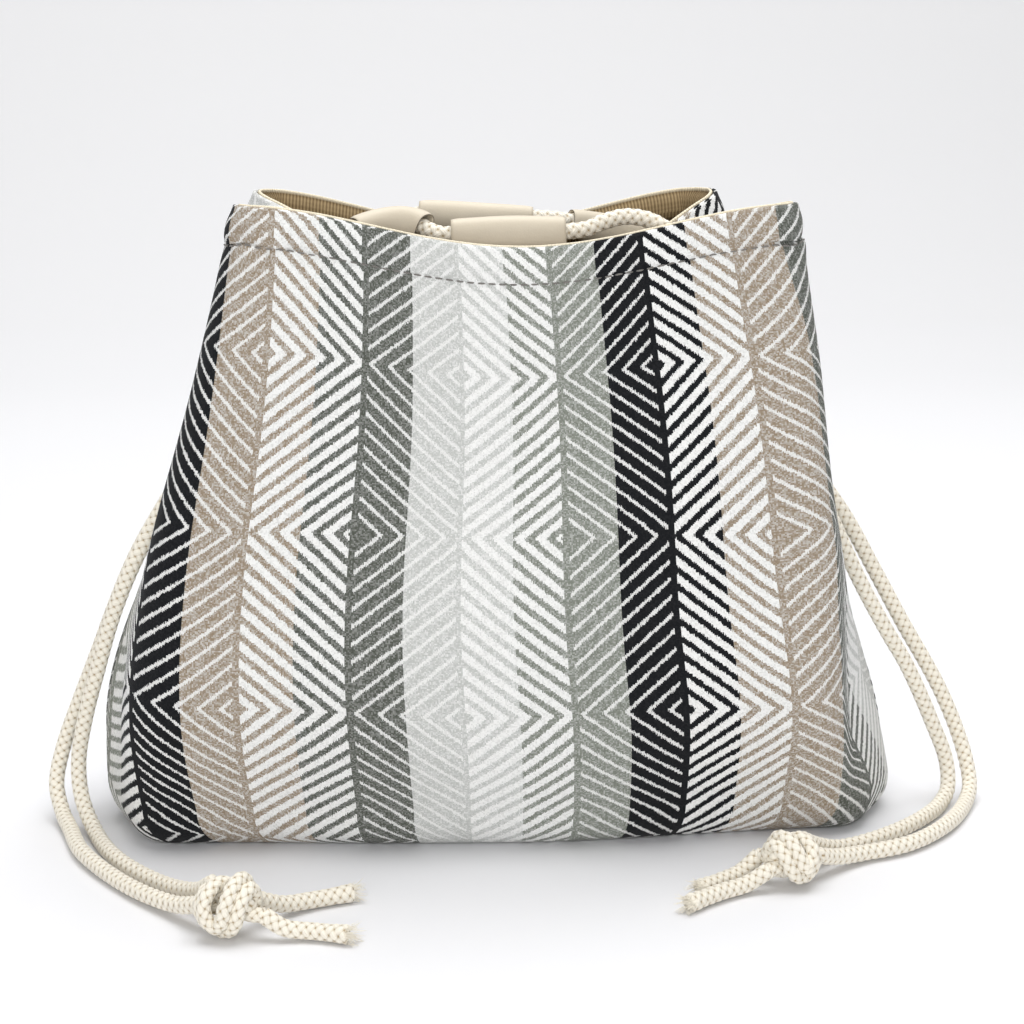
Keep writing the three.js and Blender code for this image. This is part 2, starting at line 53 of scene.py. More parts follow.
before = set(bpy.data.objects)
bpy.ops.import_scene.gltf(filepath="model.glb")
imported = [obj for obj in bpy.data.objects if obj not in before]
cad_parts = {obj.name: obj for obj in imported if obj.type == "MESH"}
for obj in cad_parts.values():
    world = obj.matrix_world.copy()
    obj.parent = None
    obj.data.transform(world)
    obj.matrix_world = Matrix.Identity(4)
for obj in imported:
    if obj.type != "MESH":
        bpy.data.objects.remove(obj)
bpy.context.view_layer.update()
MM = 0.001

# The bag's outer face: tables against height, from the floor (0) to the rim (1)
LEVEL = np.array([0, 0.22, 0.45, 0.72, 1])
HALF_WIDTH = 121 * MM
HALF_DEPTH = 45 * MM
FRONT_X = HALF_WIDTH + MM * np.array([0, -4.4, -10.2, -13, -5.9])
BACK_X = HALF_WIDTH + MM * np.array([-3.5, -7, -12, -19, -17.1])
CORNER_Y = HALF_DEPTH + MM * np.array([-8, 3, 3, 0.5, -3])
CORNER_RUN = MM * np.array([12, 11, 12, 20, 37])
SEAM_X = HALF_WIDTH + MM * np.array([13.6, 9.6, -7.7, -39.8, -82])
SEAM_RUN = MM * np.array([10, 11, 12, 10, 8.3])
BOW = MM * np.array([5, 7, 7, 4, 0])
LEAN = MM * np.array([1.5, -2.9, -3.3, -1.3, 0])
DENT_X = MM * np.array([0, 9, 1.5, 0, 0])
DENT_Y = MM * np.array([4, 2, 0, 0, 0])
TWIST = 0.104
TWIST_RISE = 1.5
RIM_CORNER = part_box("front_panel")[1].z
RIM_SAG = 13 * MM
RIM_FOLD = 16 * MM
ROLL = 14 * MM
ROLL_FACE = 12 * MM
ROLL_END = 8.5 * MM
ROLL_TOP = ROLL / RIM_CORNER
SEAM_FROM = 0.52

HALVES = (("front", -1), ("back", 1))

# Layers of the wall and the casing round the rim
CLOTH = 1.2 * MM
LINING = 1.0 * MM
SKIN = CLOTH + 0.35 * MM
CORD_R = 2.5 * MM
CASING = 11.5 * MM
CORD_DOWN = CASING / 2
CORD_DEEP = CLOTH + 0.3 * MM + CORD_R
BEHIND = 5.35 * MM
CORD_ROOM = 5.6 * MM
NOTCH = 14 * MM
NOTCH_EDGE = 0.4 * MM
LINING_LIP = 0.8 * MM
CORD_WRAP = 0.55
EDGE_STEP = 0.4 * MM

# Cloth pattern: places in half bands across, and rows down from the rim.
# The cloth is pulled sideways at the mouth
SEAM_BAND = 9.5
MIDDLE_BAND = 6.0
BACK_BAND = 9.1
BACK_SHIFT = -4.6
PULL = MM * np.array([5, 8.9, 3.4, -0.9, -8.2])
SPREAD = np.array([1.05, 1.06, 1.045, 1.005, 0.88])
FIRST_ROW = 45.5 * MM
ROW_TILT = 2.2 * MM
LEVEL_ROW = 90 * MM
FOOT = 45 * MM
FOOT_SPARE = 8 * MM
# At the front's right corner the cloth is tucked in past one place low down,
# and let out past another above that
TUCK_BAND = 12.05
TUCK_RUN = 0.3
TUCK = 1.6
TUCK_FROM = 12 * MM
TUCK_TOP = 122 * MM
TUCK_RISE = 45 * MM
SLACK_BAND = 11.0
SLACK = 0.25
SLACK_FROM = 70 * MM
SLACK_TOP = 198 * MM
SLACK_RISE = 35 * MM

# Weave of the cloth: white lines in a half band and in a row, and the jag of their edges.
# Pairs are for the coloured half bands and for the white ones: where a diamond's plain core begins,
# where in its step a white line starts, half its width and how white it is. Then half the width of
# a spine, the share of white flecks in each colour, and the shades of the fibres and of the white
LINES_ACROSS = 2.5
LINES_DOWN = 10
JAG = 0.1
PLAIN_CORE = (14.4, 14.75)
LINE_START = (0.2, 0.28)
LINE_HALF = (0.12, 0.275)
LINE_WHITE = (0.87, 1.0)
SPINE_HALF = 0.058
FLECKS = (0.6, 0.31, 0.95, 0.46, 0.012)
FIBRE_SHADE = (0.02, 0.02, 0.02)
WHITE_SHADE = (0.42, 0.42, 0.4)

# Relief of the cloth: heights and lengths of its waves, and what the casing and the seams do to it
SOFT = 0.9 * MM
SOFT_LONG = 90 * MM
FOLD = 1.1 * MM
FOLD_LONG = 70 * MM
PUCKER = 0.42 * MM
PUCKER_LONG = 16 * MM
PUCKER_REACH = 6 * MM
STITCH_SINK = 0.55 * MM
STITCH_REACH = 1.1 * MM
CORD_BULGE = 0.7 * MM
CORD_REACH = 3.4 * MM
PINCH = 0.7 * MM
PINCH_RATE = 77.3
# The waves fade out towards the rim, the foot and the seams; gussets are shares of the half length
FREE_RIM = 30 * MM
FREE_FOOT = 25 * MM
GUSSET = 0.3
GUSSET_RUN = 0.2
SEAM_CLEAR = 0.12

# Routes of the free cords, end to end, in millimetres
ROUTE = {
    "left_rear_strand": [
        (-53.85, 11.43, 185.9), (-51, 9.2, 184.9), (-49.6, 6.2, 184.6), (-51, 3.7, 184.2),
        (-54.5, 2.9, 183.8), (-60, 2.9, 181), (-65.2, 3, 174.5), (-70, 3.2, 165.5), (-84, 4, 147),
        (-99, 3.5, 124), (-112.5, 1.5, 103), (-121, 1, 88), (-128, 3, 72), (-134.5, 6, 55.5),
        (-141.5, 7, 38), (-147, 4, 23), (-149, -2, 12), (-146.5, -9.5, 4.8), (-142, -24, 3),
        (-135.5, -46.5, 3), (-118, -78, 3), (-102, -99, 4.6), (-94.6, -108.6, 7.9),
    ],
    "left_front_strand": [
        (-54.05, -11.29, 186), (-51.2, -9.1, 184.9), (-49.6, -6.2, 184.6), (-51, -3.7, 184.2),
        (-54.8, -2.7, 184.2), (-60.8, -2.7, 181), (-66.2, -2.7, 174.5), (-71.4, -2.9, 165.5),
        (-85, -4, 147), (-99, -5.6, 124), (-112.5, -7.2, 103), (-121.5, -8.5, 86), (-128, -8.6, 70),
        (-133.5, -8, 52), (-138, -7.5, 36), (-140.5, -9, 22), (-139.5, -13.5, 11.5), (-134.5, -25, 3.9),
        (-123.5, -54, 3), (-107, -77.5, 3), (-96.4, -92.6, 6.4), (-90.5, -103.8, 12.8),
    ],
    "right_rear_strand": [
        (52.58, 11.9, 186.34), (49.8, 9.4, 185), (48.8, 6.2, 184.6), (50.4, 3.7, 184.2),
        (54, 2.9, 183.8), (59.5, 2.9, 181), (64.7, 3, 174.5), (70, 3.4, 165.5), (83, 4.4, 147),
        (98, 4.8, 124), (116, 5, 99), (127.5, 7, 79), (137, 8, 62), (152, 9, 36), (159.5, 6, 17),
        (161, 0, 6.4), (158, -9, 3), (144.5, -35.7, 3), (127.5, -54, 3), (111, -62.5, 3.3),
        (101.5, -70, 5), (94.2, -77.4, 8.1),
    ],
    "right_front_strand": [
        (54.55, -10.86, 185.83), (51.3, -8.9, 184.8), (49.4, -6.2, 184.6), (50.6, -3.7, 184.2),
        (54.4, -2.7, 184.2), (60.8, -2.7, 181), (66, -2.7, 174.5), (71.4, -2.9, 165.5), (83, -4.6, 147),
        (98, -6, 124), (109.5, -6.5, 100), (119.5, -6.5, 79), (129, -5, 62), (137.5, -2.5, 48),
        (147, 0, 28), (152.5, 0, 14), (152.5, -4, 5.8), (148.5, -12, 3), (137, -30, 3), (120, -47, 3),
        (105, -57.5, 3.6), (96.3, -65.6, 7.4), (90.1, -72.9, 12),
    ],
    "left_rear_tail": [(-77.2, -106.9, 8.6), (-70.5, -100, 4.4), (-62, -93.5, 3), (-50, -88, 3)],
    "left_front_tail": [(-75.1, -117.4, 7.6), (-69, -118.4, 4), (-61, -118.8, 3), (-51, -122, 3)],
    "right_front_tail": [(77.4, -86.2, 6.8), (70.5, -88.2, 3.4), (62, -93.4, 3), (51.2, -102.6, 3)],
    "right_rear_tail": [(76, -76.7, 8.4), (70, -78.6, 3.8), (63, -84, 3), (56, -90.2, 3)],
}
# Handle cords from hinge to hinge: x, distance in from the outer face at the rim, height against
# the rim's corners
HANDLES = {
    "front": (-1, [
        (-52, 11.7, -10), (-48, 14.4, -8.6), (-40, 19.4, -6.8), (-32.5, 21.2, -6.1), (-27, 20, -7),
        (-23.4, 17.2, -8.6), (-20, 15.3, -9.6), (-17, 15, -9.65), (0, 14.95, -9.1), (25, 14.9, -8.3),
        (31, 15.4, -6), (38, 15.6, -4.4), (45, 14.4, -5.4), (50, 12.6, -8), (52, 11.7, -10),
    ]),
    "rear": (1, [
        (-54, 14, -16), (-50.5, 19, -13.6), (-43, 27, -9.8), (-35, 33, -7.2), (-27, 35.7, -6),
        (-6, 36.8, -6.6), (17, 38, -7.3), (22.5, 37, -8.1), (35, 31.5, -10.6), (47, 25, -13),
        (52.5, 20, -14.6), (55, 14, -16),
    ]),
}


def srgb(code):
    """A colour written as six hex digits, in the linear values that shaders take."""
    parts = [int(code[i:i + 2], 16) / 255 for i in (1, 3, 5)]
    return [c / 12.92 if c <= 0.04045 else ((c + 0.055) / 1.055) ** 2.4 for c in parts]


# Settings of one kind: a colour, a length in metres, a power in watts, an angle given in degrees
def colour(name, code, what):
    return FloatVectorProperty(
        name=name, description=what, subtype="COLOR", size=3, min=0, max=1, default=srgb(code))


def length(name, value, what):
    return FloatProperty(
        name=name, description=what, unit="LENGTH", subtype="DISTANCE", default=value, precision=5)


def watts(name, value, what):
    return FloatProperty(name=name, description=what, unit="POWER", default=value)


def tilt(name, value, what):
    return FloatProperty(name=name, description=what, subtype="ANGLE", default=math.radians(value))


class BagCloth(bpy.types.PropertyGroup):
    """The striped jacquard cloth."""
    white: colour("White yarn", "#f0f0ee", "Ground yarn of the whole cloth")
    black: colour("Black band", "#121418", "Yarn of the black bands")
    taupe: colour("Taupe band", "#9b8972", "Yarn of the taupe bands")
    slate: colour("Slate band", "#54584f", "Yarn of the dark grey-green bands")
    sage: colour("Sage band", "#81867b", "Yarn of the mid grey-green bands")
    pale: colour("Pale band", "#c8cac6", "Yarn of the pale bands")
    half_band: length("Half band", 16.65 * MM, "Width of half a colour band")
    row: length("Row", 57 * MM, "Height from one row of diamonds to the next")
    yarn: length("Yarn", 0.5 * MM, "Spacing of the yarns")


class BagCord(bpy.types.PropertyGroup):
    """The braided cotton cord."""
    cotton: colour("Cotton", "#f8f2e4", "Colour of the cord")
    # shade is painted shade: the colour that the hollows between the plaits are darkened to
    shade: colour("Gaps", "#ab956e", "Colour deep between the plaits")
    radius: length("Radius", 2.7 * MM, "Radius over the plaits")
    plait: length("Plait", 3.0 * MM, "Length of one plait along the cord")
    carriers: IntProperty(
        name="Carriers", description="Plaits round the cord each way", default=4, min=3, max=12)


class BagLining(bpy.types.PropertyGroup):
    """The ribbed lining."""
    # The rib colour is the lining's cream darkened with painted shade for the inside of the bag, the
    # groove colour is painted shade between the ribs, and the turned edge carries no painted shade
    cream_in_shade: colour("Cream", "#ab9570", "Colour of the ribs")
    groove_shade: colour("Groove", "#544028", "Colour between the ribs")
    edge: colour("Turned edge", "#f3e8cf", "Colour along the turned edge at the rim")
    rib: length("Rib", 1.15 * MM, "Spacing of the ribs")
    hem: length("Edge", 0.45 * MM, "Run over which the turned edge's colour comes in above the ribs")


class BagLeather(bpy.types.PropertyGroup):
    """The leather of the sleeves and tabs."""
    greige: colour("Greige", "#d8cdb9", "Colour of the face")
    edge: colour("Cut edge", "#7f776b", "Colour of the painted cut edge")
    wall: length("Thickness", 0.8 * MM, "Thickness of the leather")
    high: length("Height", 11 * MM, "Height of a sleeve")
    deep: length("Depth", 9 * MM, "Depth of a sleeve")


class BagThread(bpy.types.PropertyGroup):
    """The sewing thread of the casing."""
    grey: colour("Thread", "#898681", "Colour of the thread")
    stitch: length("Stitch", 2.5 * MM, "Length of a stitch")
    pitch: length("Pitch", 3.3 * MM, "Distance from stitch to stitch")
    radius: length("Radius", 0.29 * MM, "Radius of the thread")


class BagStage(bpy.types.PropertyGroup):
    """The floor, the light and the camera."""
    floor: colour("Floor", "#eaeaec", "Colour of the floor and backdrop")
    key: watts("Key light", 17.4, "Power of the key light")
    top: watts("Top light", 29, "Power of the overhead light")
    sky: FloatProperty(name="Sky", description="Strength of the even light from all round", default=0.24)
    eye: FloatVectorProperty(name="Camera", description="Place of the camera", subtype="TRANSLATION",
                             size=3, default=(-0.0413, -0.7787, 0.2599))
    pitch: tilt("Pitch", 11.43, "Camera's tilt below the level")
    yaw: tilt("Yaw", 3.31, "Camera's turn to the right")
    lens: FloatProperty(name="Lens", description="Focal length on a 36 mm sensor",
                        subtype="DISTANCE_CAMERA", default=84.375)


# Shader expressions
class Val:
    """A socket of a finish. Arithmetic on it adds Math nodes."""

    def __init__(self, finish, socket):
        self.finish = finish
        self.socket = socket

    def math(self, operation, *others):
        return self.finish.math(operation, self, *others)

    def after(self, operation, other):
        """The same with the two values the other way round."""
        return self.finish.math(operation, other, self)

    def __add__(self, other):
        return self.math("ADD", other)

    def __sub__(self, other):
        return self.math("SUBTRACT", other)

    def __rsub__(self, other):
        return self.after("SUBTRACT", other)

    def __mul__(self, other):
        return self.math("MULTIPLY", other)

    def __truediv__(self, other):
        return self.math("DIVIDE", other)

    def __rtruediv__(self, other):
        return self.after("DIVIDE", other)

    def __pow__(self, other):
        return self.math("POWER", other)

    def __rpow__(self, other):
        return self.after("POWER", other)

    def __lt__(self, other):
        return self.math("LESS_THAN", other)

    def __gt__(self, other):
        return self.math("GREATER_THAN", other)

    __radd__ = __add__
    __rmul__ = __mul__

    def floor(self):
        return self.math("FLOOR")

    def part(self):
        return self.math("FRACT")

    def size(self):
        return self.math("ABSOLUTE")

    def wave(self, reach):
        """A triangle wave from 0 to reach and back."""
        return self.math("PINGPONG", reach)

    def odd(self):
        """1 where a whole number is odd, else 0."""
        return (self * 0.5).part() * 2


class Finish:
    """A material and the one method that adds a node to it."""

    def __init__(self, name, **constants):
        self.material = bpy.data.materials.new(f"bag_{name}")
        self.material.use_nodes = True
        self.tree = self.material.node_tree
        self.shader = self.tree.nodes["Principled BSDF"]
        for socket, value in constants.items():
            self.shader.inputs[socket.replace("_", " ")].default_value = value

    def node(self, kind, settings=None, inputs=None, out=0):
        """Adds a node with its settings, then its sockets' values or links, and gives one output. The
        setting stops holds the colours of a stepped ramp, each from its even share of the way on."""
        made = self.tree.nodes.new(kind)
        settings = dict(settings or {})
        stops = settings.pop("stops", [])
        for key, value in settings.items():
            setattr(made, key, value)
        for i, value in enumerate(stops):
            made.color_ramp.interpolation = "CONSTANT"
            elements = made.color_ramp.elements
            stop = elements[i] if i < len(elements) else elements.new(1.0)
            stop.position = i / len(stops)
            stop.color = (*value, 1)
        for key, value in (inputs or {}).items():
            if isinstance(value, Val):
                self.tree.links.new(value.socket, made.inputs[key])
            else:
                made.inputs[key].default_value = value
        return Val(self, made.outputs[out])

    def math(self, operation, *values):
        return self.node("ShaderNodeMath", {"operation": operation}, dict(enumerate(values)))

    def uv(self):
        """Both values of the piece's uv map."""
        pair = self.node("ShaderNodeUVMap", {"uv_map": "weave"})
        return [self.node("ShaderNodeSeparateXYZ", None, {0: pair}, k) for k in (0, 1)]

    def joined(self, x, y):
        return self.node("ShaderNodeCombineXYZ", None, {0: x, 1: y})

    def cell(self, x, y):
        """A fixed random value for each whole-number cell."""
        return self.node("ShaderNodeTexWhiteNoise", {"noise_dimensions": "2D"}, {0: self.joined(x, y)})

    def cloud(self, place, scale, detail=3.0):
        return self.node("ShaderNodeTexNoise", None, {"Vector": place, "Scale": scale, "Detail": detail})

    def here(self):
        return self.node("ShaderNodeTexCoord", None, None, "Object")

    def mix(self, share, low, high):
        """A colour between two others."""
        def four(c):
            return c if isinstance(c, Val) else (*c, 1)
        settings = {"data_type": "RGBA"}
        return self.node("ShaderNodeMix", settings, {0: share, 6: four(low), 7: four(high)}, 2)

    def steps(self, share, values):
        """One of several colours or greys, in equal steps of share from 0 to 1."""
        return self.node("ShaderNodeValToRGB", {"stops": values}, {0: share})

    def paint(self, **sockets):
        for key, value in sockets.items():
            self.tree.links.new(value.socket, self.shader.inputs[key.replace("_", " ")])

    def bump(self, height, strength, depth):
        inputs = {"Strength": strength, "Distance": depth, "Height": height}
        self.paint(Normal=self.node("ShaderNodeBump", None, inputs))


def cloth_finish():
    """Jacquard in nested diamonds. The phase grows with the distance from the nearest spine and from
    the nearest row of diamonds. White shows in the middle of each whole step of it, narrow or wide by
    turns of two half bands, but not on the spines or in a diamond's plain core. Yarn steps and a
    random jag on each yarn roughen the edges; the coloured yarns are flecked with white."""
    look = bpy.context.scene.bag_cloth
    f = Finish("striped_cloth", Roughness=0.92, Sheen_Weight=0.05, Specular_IOR_Level=0.12)
    u, v = f.uv()
    across = look.half_band / look.yarn
    down = look.row / look.yarn
    jag = f.cell((u * (across * 1.5)).floor(), (v * (down / 2)).floor())
    fleck = f.cell((u * (across * 1.1)).floor(), (v * (down * 1.1)).floor())
    uq = ((u * across).floor() + 0.5) / across
    vq = ((v * down).floor() + 0.5) / down
    turn = ((uq + 1) * 0.5).floor().odd()

    def by_turn(pair):
        return turn * (pair[1] - pair[0]) + pair[0]

    phase = (uq - 1).wave(2) * LINES_ACROSS + vq.wave(1) * LINES_DOWN + (jag - 0.5) * JAG
    off = ((phase - by_turn(LINE_START)).part() - 0.5).size()
    spine = (uq - 1).wave(1) < SPINE_HALF
    white = (off < by_turn(LINE_HALF)) * (1 - spine) * (phase < by_turn(PLAIN_CORE))
    yarns = (look.taupe, look.slate, look.pale, look.sage, look.black)
    band = ((uq * 0.5).floor() / len(yarns)).part() + 0.5 / len(yarns)
    tone = f.steps(band, [tuple(c) for c in yarns])
    flecks = f.steps(band, [(g, g, g) for g in FLECKS])
    fibre = f.cloud(f.joined(u * across, v * down), 0.9, 2.0)
    dyed = f.mix((fleck ** 1.6) * flecks, tone, tuple(look.white))
    dyed = f.mix((1 - fibre) * 0.28, dyed, FIBRE_SHADE)
    ground = f.mix((fleck ** 2.5) * 0.38, tuple(look.white), WHITE_SHADE)
    f.paint(Base_Color=f.mix(white * by_turn(LINE_WHITE), dyed, ground))
    weave = (u * across).wave(0.5) * (v * down).wave(0.5) * 2 + fibre * 0.8 + white * 0.35
    f.bump(weave, 0.5, 0.35 * MM)
    return f.material


def lining_finish():
    """Ribbed cotton: ribs run up the wall at an even spacing, their colour darkened with painted shade
    for the inside of the bag, and darker still between them as painted shade in the grooves. Above the
    rim's line the colour goes over to that of the turned edge, which carries no painted shade."""
    look = bpy.context.scene.bag_lining
    f = Finish("lining_cloth", Roughness=0.9, Specular_IOR_Level=0.2)
    u, v = f.uv()
    rib = (u / look.rib).wave(0.5) * 2
    slub = f.cloud(f.joined(u / look.rib, v / (look.rib * 2)), 0.8)
    stitch = (v / look.rib).wave(0.5) * 2
    crown = rib * 0.75 + stitch * 0.15 + slub * 0.25
    # Painted shade: the ribs are darkened for the inside of the bag, and darker still in the grooves
    # between them
    ribbed = f.mix(crown, tuple(look.groove_shade), tuple(look.cream_in_shade))
    turned = (v / -look.hem).math("MAXIMUM", 0)
    f.paint(Base_Color=f.mix(turned, ribbed, tuple(look.edge)))
    f.bump(crown, 0.8, 0.5 * MM)
    return f.material


def cord_finish():
    """Plaits run both ways round the cord and pass over and under by turns. Fine yarn lines run along
    each plait, and the corners where four plaits meet are darkened with painted shade."""
    look = bpy.context.scene.bag_cord
    f = Finish("cotton_cord", Roughness=0.85, Specular_IOR_Level=0.25, Sheen_Weight=0.1)
    x, y = f.uv()
    a = x + y
    b = x - y
    under = (a.floor() + b.floor()).odd()
    across = a.part() + (b.part() - a.part()) * under
    along = b.part() + (a.part() - b.part()) * under
    edge = (across - 0.5).size() * 2
    end = (along - 0.5).size() * 2
    # gap: sunk in the bump, and darkened in colour as painted shade in the hollows between the plaits
    gap = (edge ** 3.0) * (0.25 + (end ** 2.0) * 1.1)
    lines = (across * 3.5).wave(0.5) * 2
    cloud = f.cloud(f.here(), 700.0)
    shaded = tuple(c * 0.82 for c in look.cotton)
    tint = f.mix(cloud * 0.2 + lines * 0.08, tuple(look.cotton), shaded)
    f.paint(Base_Color=f.mix(gap, tint, tuple(look.shade)))
    f.bump(lines * 0.7 + cloud * 0.6 - gap, 0.6, 0.3 * MM)
    return f.material


def leather_finish():
    """Smooth matte leather: faint cloudy tone, fine pores and a soft crease here and there."""
    look = bpy.context.scene.bag_leather
    f = Finish("leather", Specular_IOR_Level=0.35)
    place = f.here()
    pores = f.node("ShaderNodeTexVoronoi", None, {"Vector": place, "Scale": 1500.0}, "Distance")
    cloud = f.cloud(place, 160.0, 4.0)
    fine = f.cloud(place, 2600.0, 2.0)
    shaded = tuple(c * 0.72 for c in look.greige)
    f.paint(Base_Color=f.mix(cloud * 0.3 + fine * 0.12, tuple(look.greige), shaded))
    f.paint(Roughness=0.44 + cloud * 0.14 + fine * 0.06)
    f.bump(pores * 0.7 + fine * 0.4, 0.35, 0.12 * MM)
    return f.material


def edge_finish():
    """The painted cut edge of the leather, with the fibres showing through."""
    look = bpy.context.scene.bag_leather
    f = Finish("leather_edge", Roughness=0.7, Specular_IOR_Level=0.3)
    fibre = f.cloud(f.here(), 1800.0)
    f.paint(Base_Color=f.mix(fibre, tuple(look.edge), tuple(c * 0.55 for c in look.edge)))
    f.bump(fibre, 0.5, 0.15 * MM)
    return f.material


def thread_finish():
    """Twisted sewing thread: slanting plies along each stitch, with painted shade in the hollows between
    them.
    """
    look = bpy.context.scene.bag_thread
    f = Finish("sewing_thread", Roughness=0.75, Specular_IOR_Level=0.3)
    x, y = f.uv()
    ply = (x * 2 + y * 4).wave(0.5) * 2
    # Painted shade: the thread is darker in the hollows between its plies
    f.paint(Base_Color=f.mix(ply, tuple(c * 0.6 for c in look.grey), tuple(look.grey)))
    f.bump(ply, 0.5, 0.1 * MM)
    return f.material


# Where behind the bag the floor's lift begins and ends, and how strong it grows
LIFT_FROM = 0.5
LIFT_TO = 1.95
LIFT = 0.33


def floor_finish():
    """Pale floor: a matt surface that takes the shadow. What the camera sees is lifted, more the
    farther back it lies."""
    look = bpy.context.scene.bag_stage
    f = Finish("pale_floor", Base_Color=(*look.floor, 1), Roughness=0.9, Specular_IOR_Level=0.1)
    seen, glossy, through = (f.node("ShaderNodeLightPath", None, None, f"Is {ray} Ray")
                             for ray in ("Camera", "Glossy", "Transmission"))
    away = f.node("ShaderNodeSeparateXYZ", None, {0: f.here()}, 1)
    rise = f.node("ShaderNodeMapRange", None, {0: away, 1: LIFT_FROM, 2: LIFT_TO, 3: 0.0, 4: LIFT})
    strength = (seen + glossy + through) * rise
    lift = f.node("ShaderNodeEmission", None, {"Color": (1, 1, 1, 1), "Strength": strength})
    both = f.node("ShaderNodeAddShader", None, {0: Val(f, f.shader.outputs[0]), 1: lift})
    f.tree.links.new(both.socket, f.tree.nodes["Material Output"].inputs[0])
    return f.material


FINISHES = {
    "striped_cloth": cloth_finish, "lining_cloth": lining_finish, "cotton_cord": cord_finish,
    "leather": leather_finish, "leather_edge": edge_finish, "sewing_thread": thread_finish,
    "pale_floor": floor_finish,
}


def finish(name):
    """The bag's material of that name, made at its first use."""
    return bpy.data.materials.get(f"bag_{name}") or FINISHES[name]()


# Meshes
def put_mesh(name, points, faces, uv, *finishes, face_finish=None):
    """A smooth mesh object from points, arrays of quads or triangles, and one uv pair for each corner
    of each face."""
    mesh = bpy.data.meshes.new(name)
    corners = np.concatenate([f.ravel() for f in faces]).astype(np.int32)
    sizes = np.concatenate([np.full(len(f), f.shape[1]) for f in faces])
    starts = np.concatenate([[0], np.cumsum(sizes)[:-1]]).astype(np.int32)
    mesh.vertices.add(len(points))
    mesh.vertices.foreach_set("co", np.asarray(points, np.float32).ravel())
    mesh.loops.add(len(corners))
    mesh.loops.foreach_set("vertex_index", corners)
    mesh.polygons.add(len(sizes))
    mesh.polygons.foreach_set("loop_start", starts)
    mesh.update(calc_edges=True)
    mesh.polygons.foreach_set("use_smooth", np.ones(len(sizes), bool))
    layer = mesh.uv_layers.new(name="weave")
    layer.data.foreach_set("uv", np.asarray(np.concatenate(uv), np.float32).ravel())
    for kind in finishes:
        mesh.materials.append(finish(kind))
    if face_finish is not None:
        mesh.polygons.foreach_set("material_index", np.asarray(face_finish, np.int32))
    piece = bpy.data.objects.new(name, mesh)
    bpy.context.scene.collection.objects.link(piece)
    return piece


def grid_faces(rows, columns, first=0, flip=False, around=False):
    """Quads of a grid of points, row by row. A grid that goes around also joins its last column to
    its first."""
    j = np.arange(rows - 1)[:, None] * columns
    i = np.arange(columns if around else columns - 1)
    n = (i + 1) % columns
    quads = np.stack([j + i, j + n, j + columns + n, j + columns + i], -1).reshape(-1, 4) + first
    return quads[:, ::-1] if flip else quads


def strip(a, b):
    """Quads between two rows of point numbers."""
    return np.stack([a[:-1], a[1:], b[1:], b[:-1]], -1)


def grid_uv(uv, flip=False):
    """Uv pairs for the corners of a grid's quads, from a grid of pairs with one column more where it
    goes around."""
    corners = np.stack([uv[:-1, :-1], uv[:-1, 1:], uv[1:, 1:], uv[1:, :-1]], 2).reshape(-1, 4, 2)
    return (corners[:, ::-1] if flip else corners).reshape(-1, 2)


def run_lengths(points):
    """Distance along each row of points from its first point."""
    steps = np.linalg.norm(np.diff(points, axis=-2), axis=-1)
    start = np.zeros((*steps.shape[:-1], 1))
    return np.concatenate([start, np.cumsum(steps, -1)], -1)


def unit(vectors):
    """Vectors over their lengths."""
    return vectors / np.maximum(np.linalg.norm(vectors, axis=-1, keepdims=True), 1e-12)


def eased(t):
    """A smooth step from 0 to 1: three times the square less twice the cube of t, held to 0 to 1."""
    t = np.clip(t, 0, 1)
    return t * t * (3 - 2 * t)


def hump(t, low, high, run):
    """1 between low and high, eased down to 0 at both over a run."""
    return eased((t - low) / run) * eased((high - t) / run)


def bell(t, reach):
    """A bell curve: e to minus the square of t over its reach."""
    return np.exp(-(t / reach) ** 2)


def waves(x, y, seed, count, size):
    """A soft uneven field of about -1 to 1: sine waves of random direction and phase, about size
    long."""
    rng = np.random.default_rng(seed)
    total = np.zeros(np.broadcast(x, y).shape)
    for turn, phase, scale in rng.random((count, 3)):
        k = 2 * np.pi / (size * (0.7 + 0.9 * scale))
        angle = 2 * np.pi * turn
        total += np.sin(k * (x * np.cos(angle) + y * np.sin(angle)) + 2 * np.pi * phase)
    return total / math.sqrt(count)


# The bag's wall
ON_ARC = 24
ON_FACE = 70
CORNER_MID = 2 * ON_ARC + ON_ARC // 2


def level(table, v):
    """A table against height, as a cubic curve through its values with the slopes of their gradient."""
    slope = np.gradient(table, LEVEL)
    i = np.clip(np.searchsorted(LEVEL, v, side="right") - 1, 0, len(LEVEL) - 2)
    h = LEVEL[i + 1] - LEVEL[i]
    t = (v - LEVEL[i]) / h
    u = 1 - t
    low = u * u * ((1 + 2 * t) * table[i] + t * h * slope[i])
    return low + t * t * ((1 + 2 * u) * table[i + 1] - u * h * slope[i + 1])


def arc(a, b, c, t):
    """The arc that rounds corner b between a and c: a rational curve whose weight is the sine of half
    the corner."""
    p, q = unit(a - b), unit(c - b)
    w = np.sqrt(np.maximum(0, (1 - (p * q).sum(-1, keepdims=True)) / 2))
    t = t[None, :, None]
    k = (1 - t) ** 2, 2 * w * t * (1 - t), t * t
    return (k[0] * a + k[1] * b + k[2] * c) / (k[0] + k[1] + k[2])


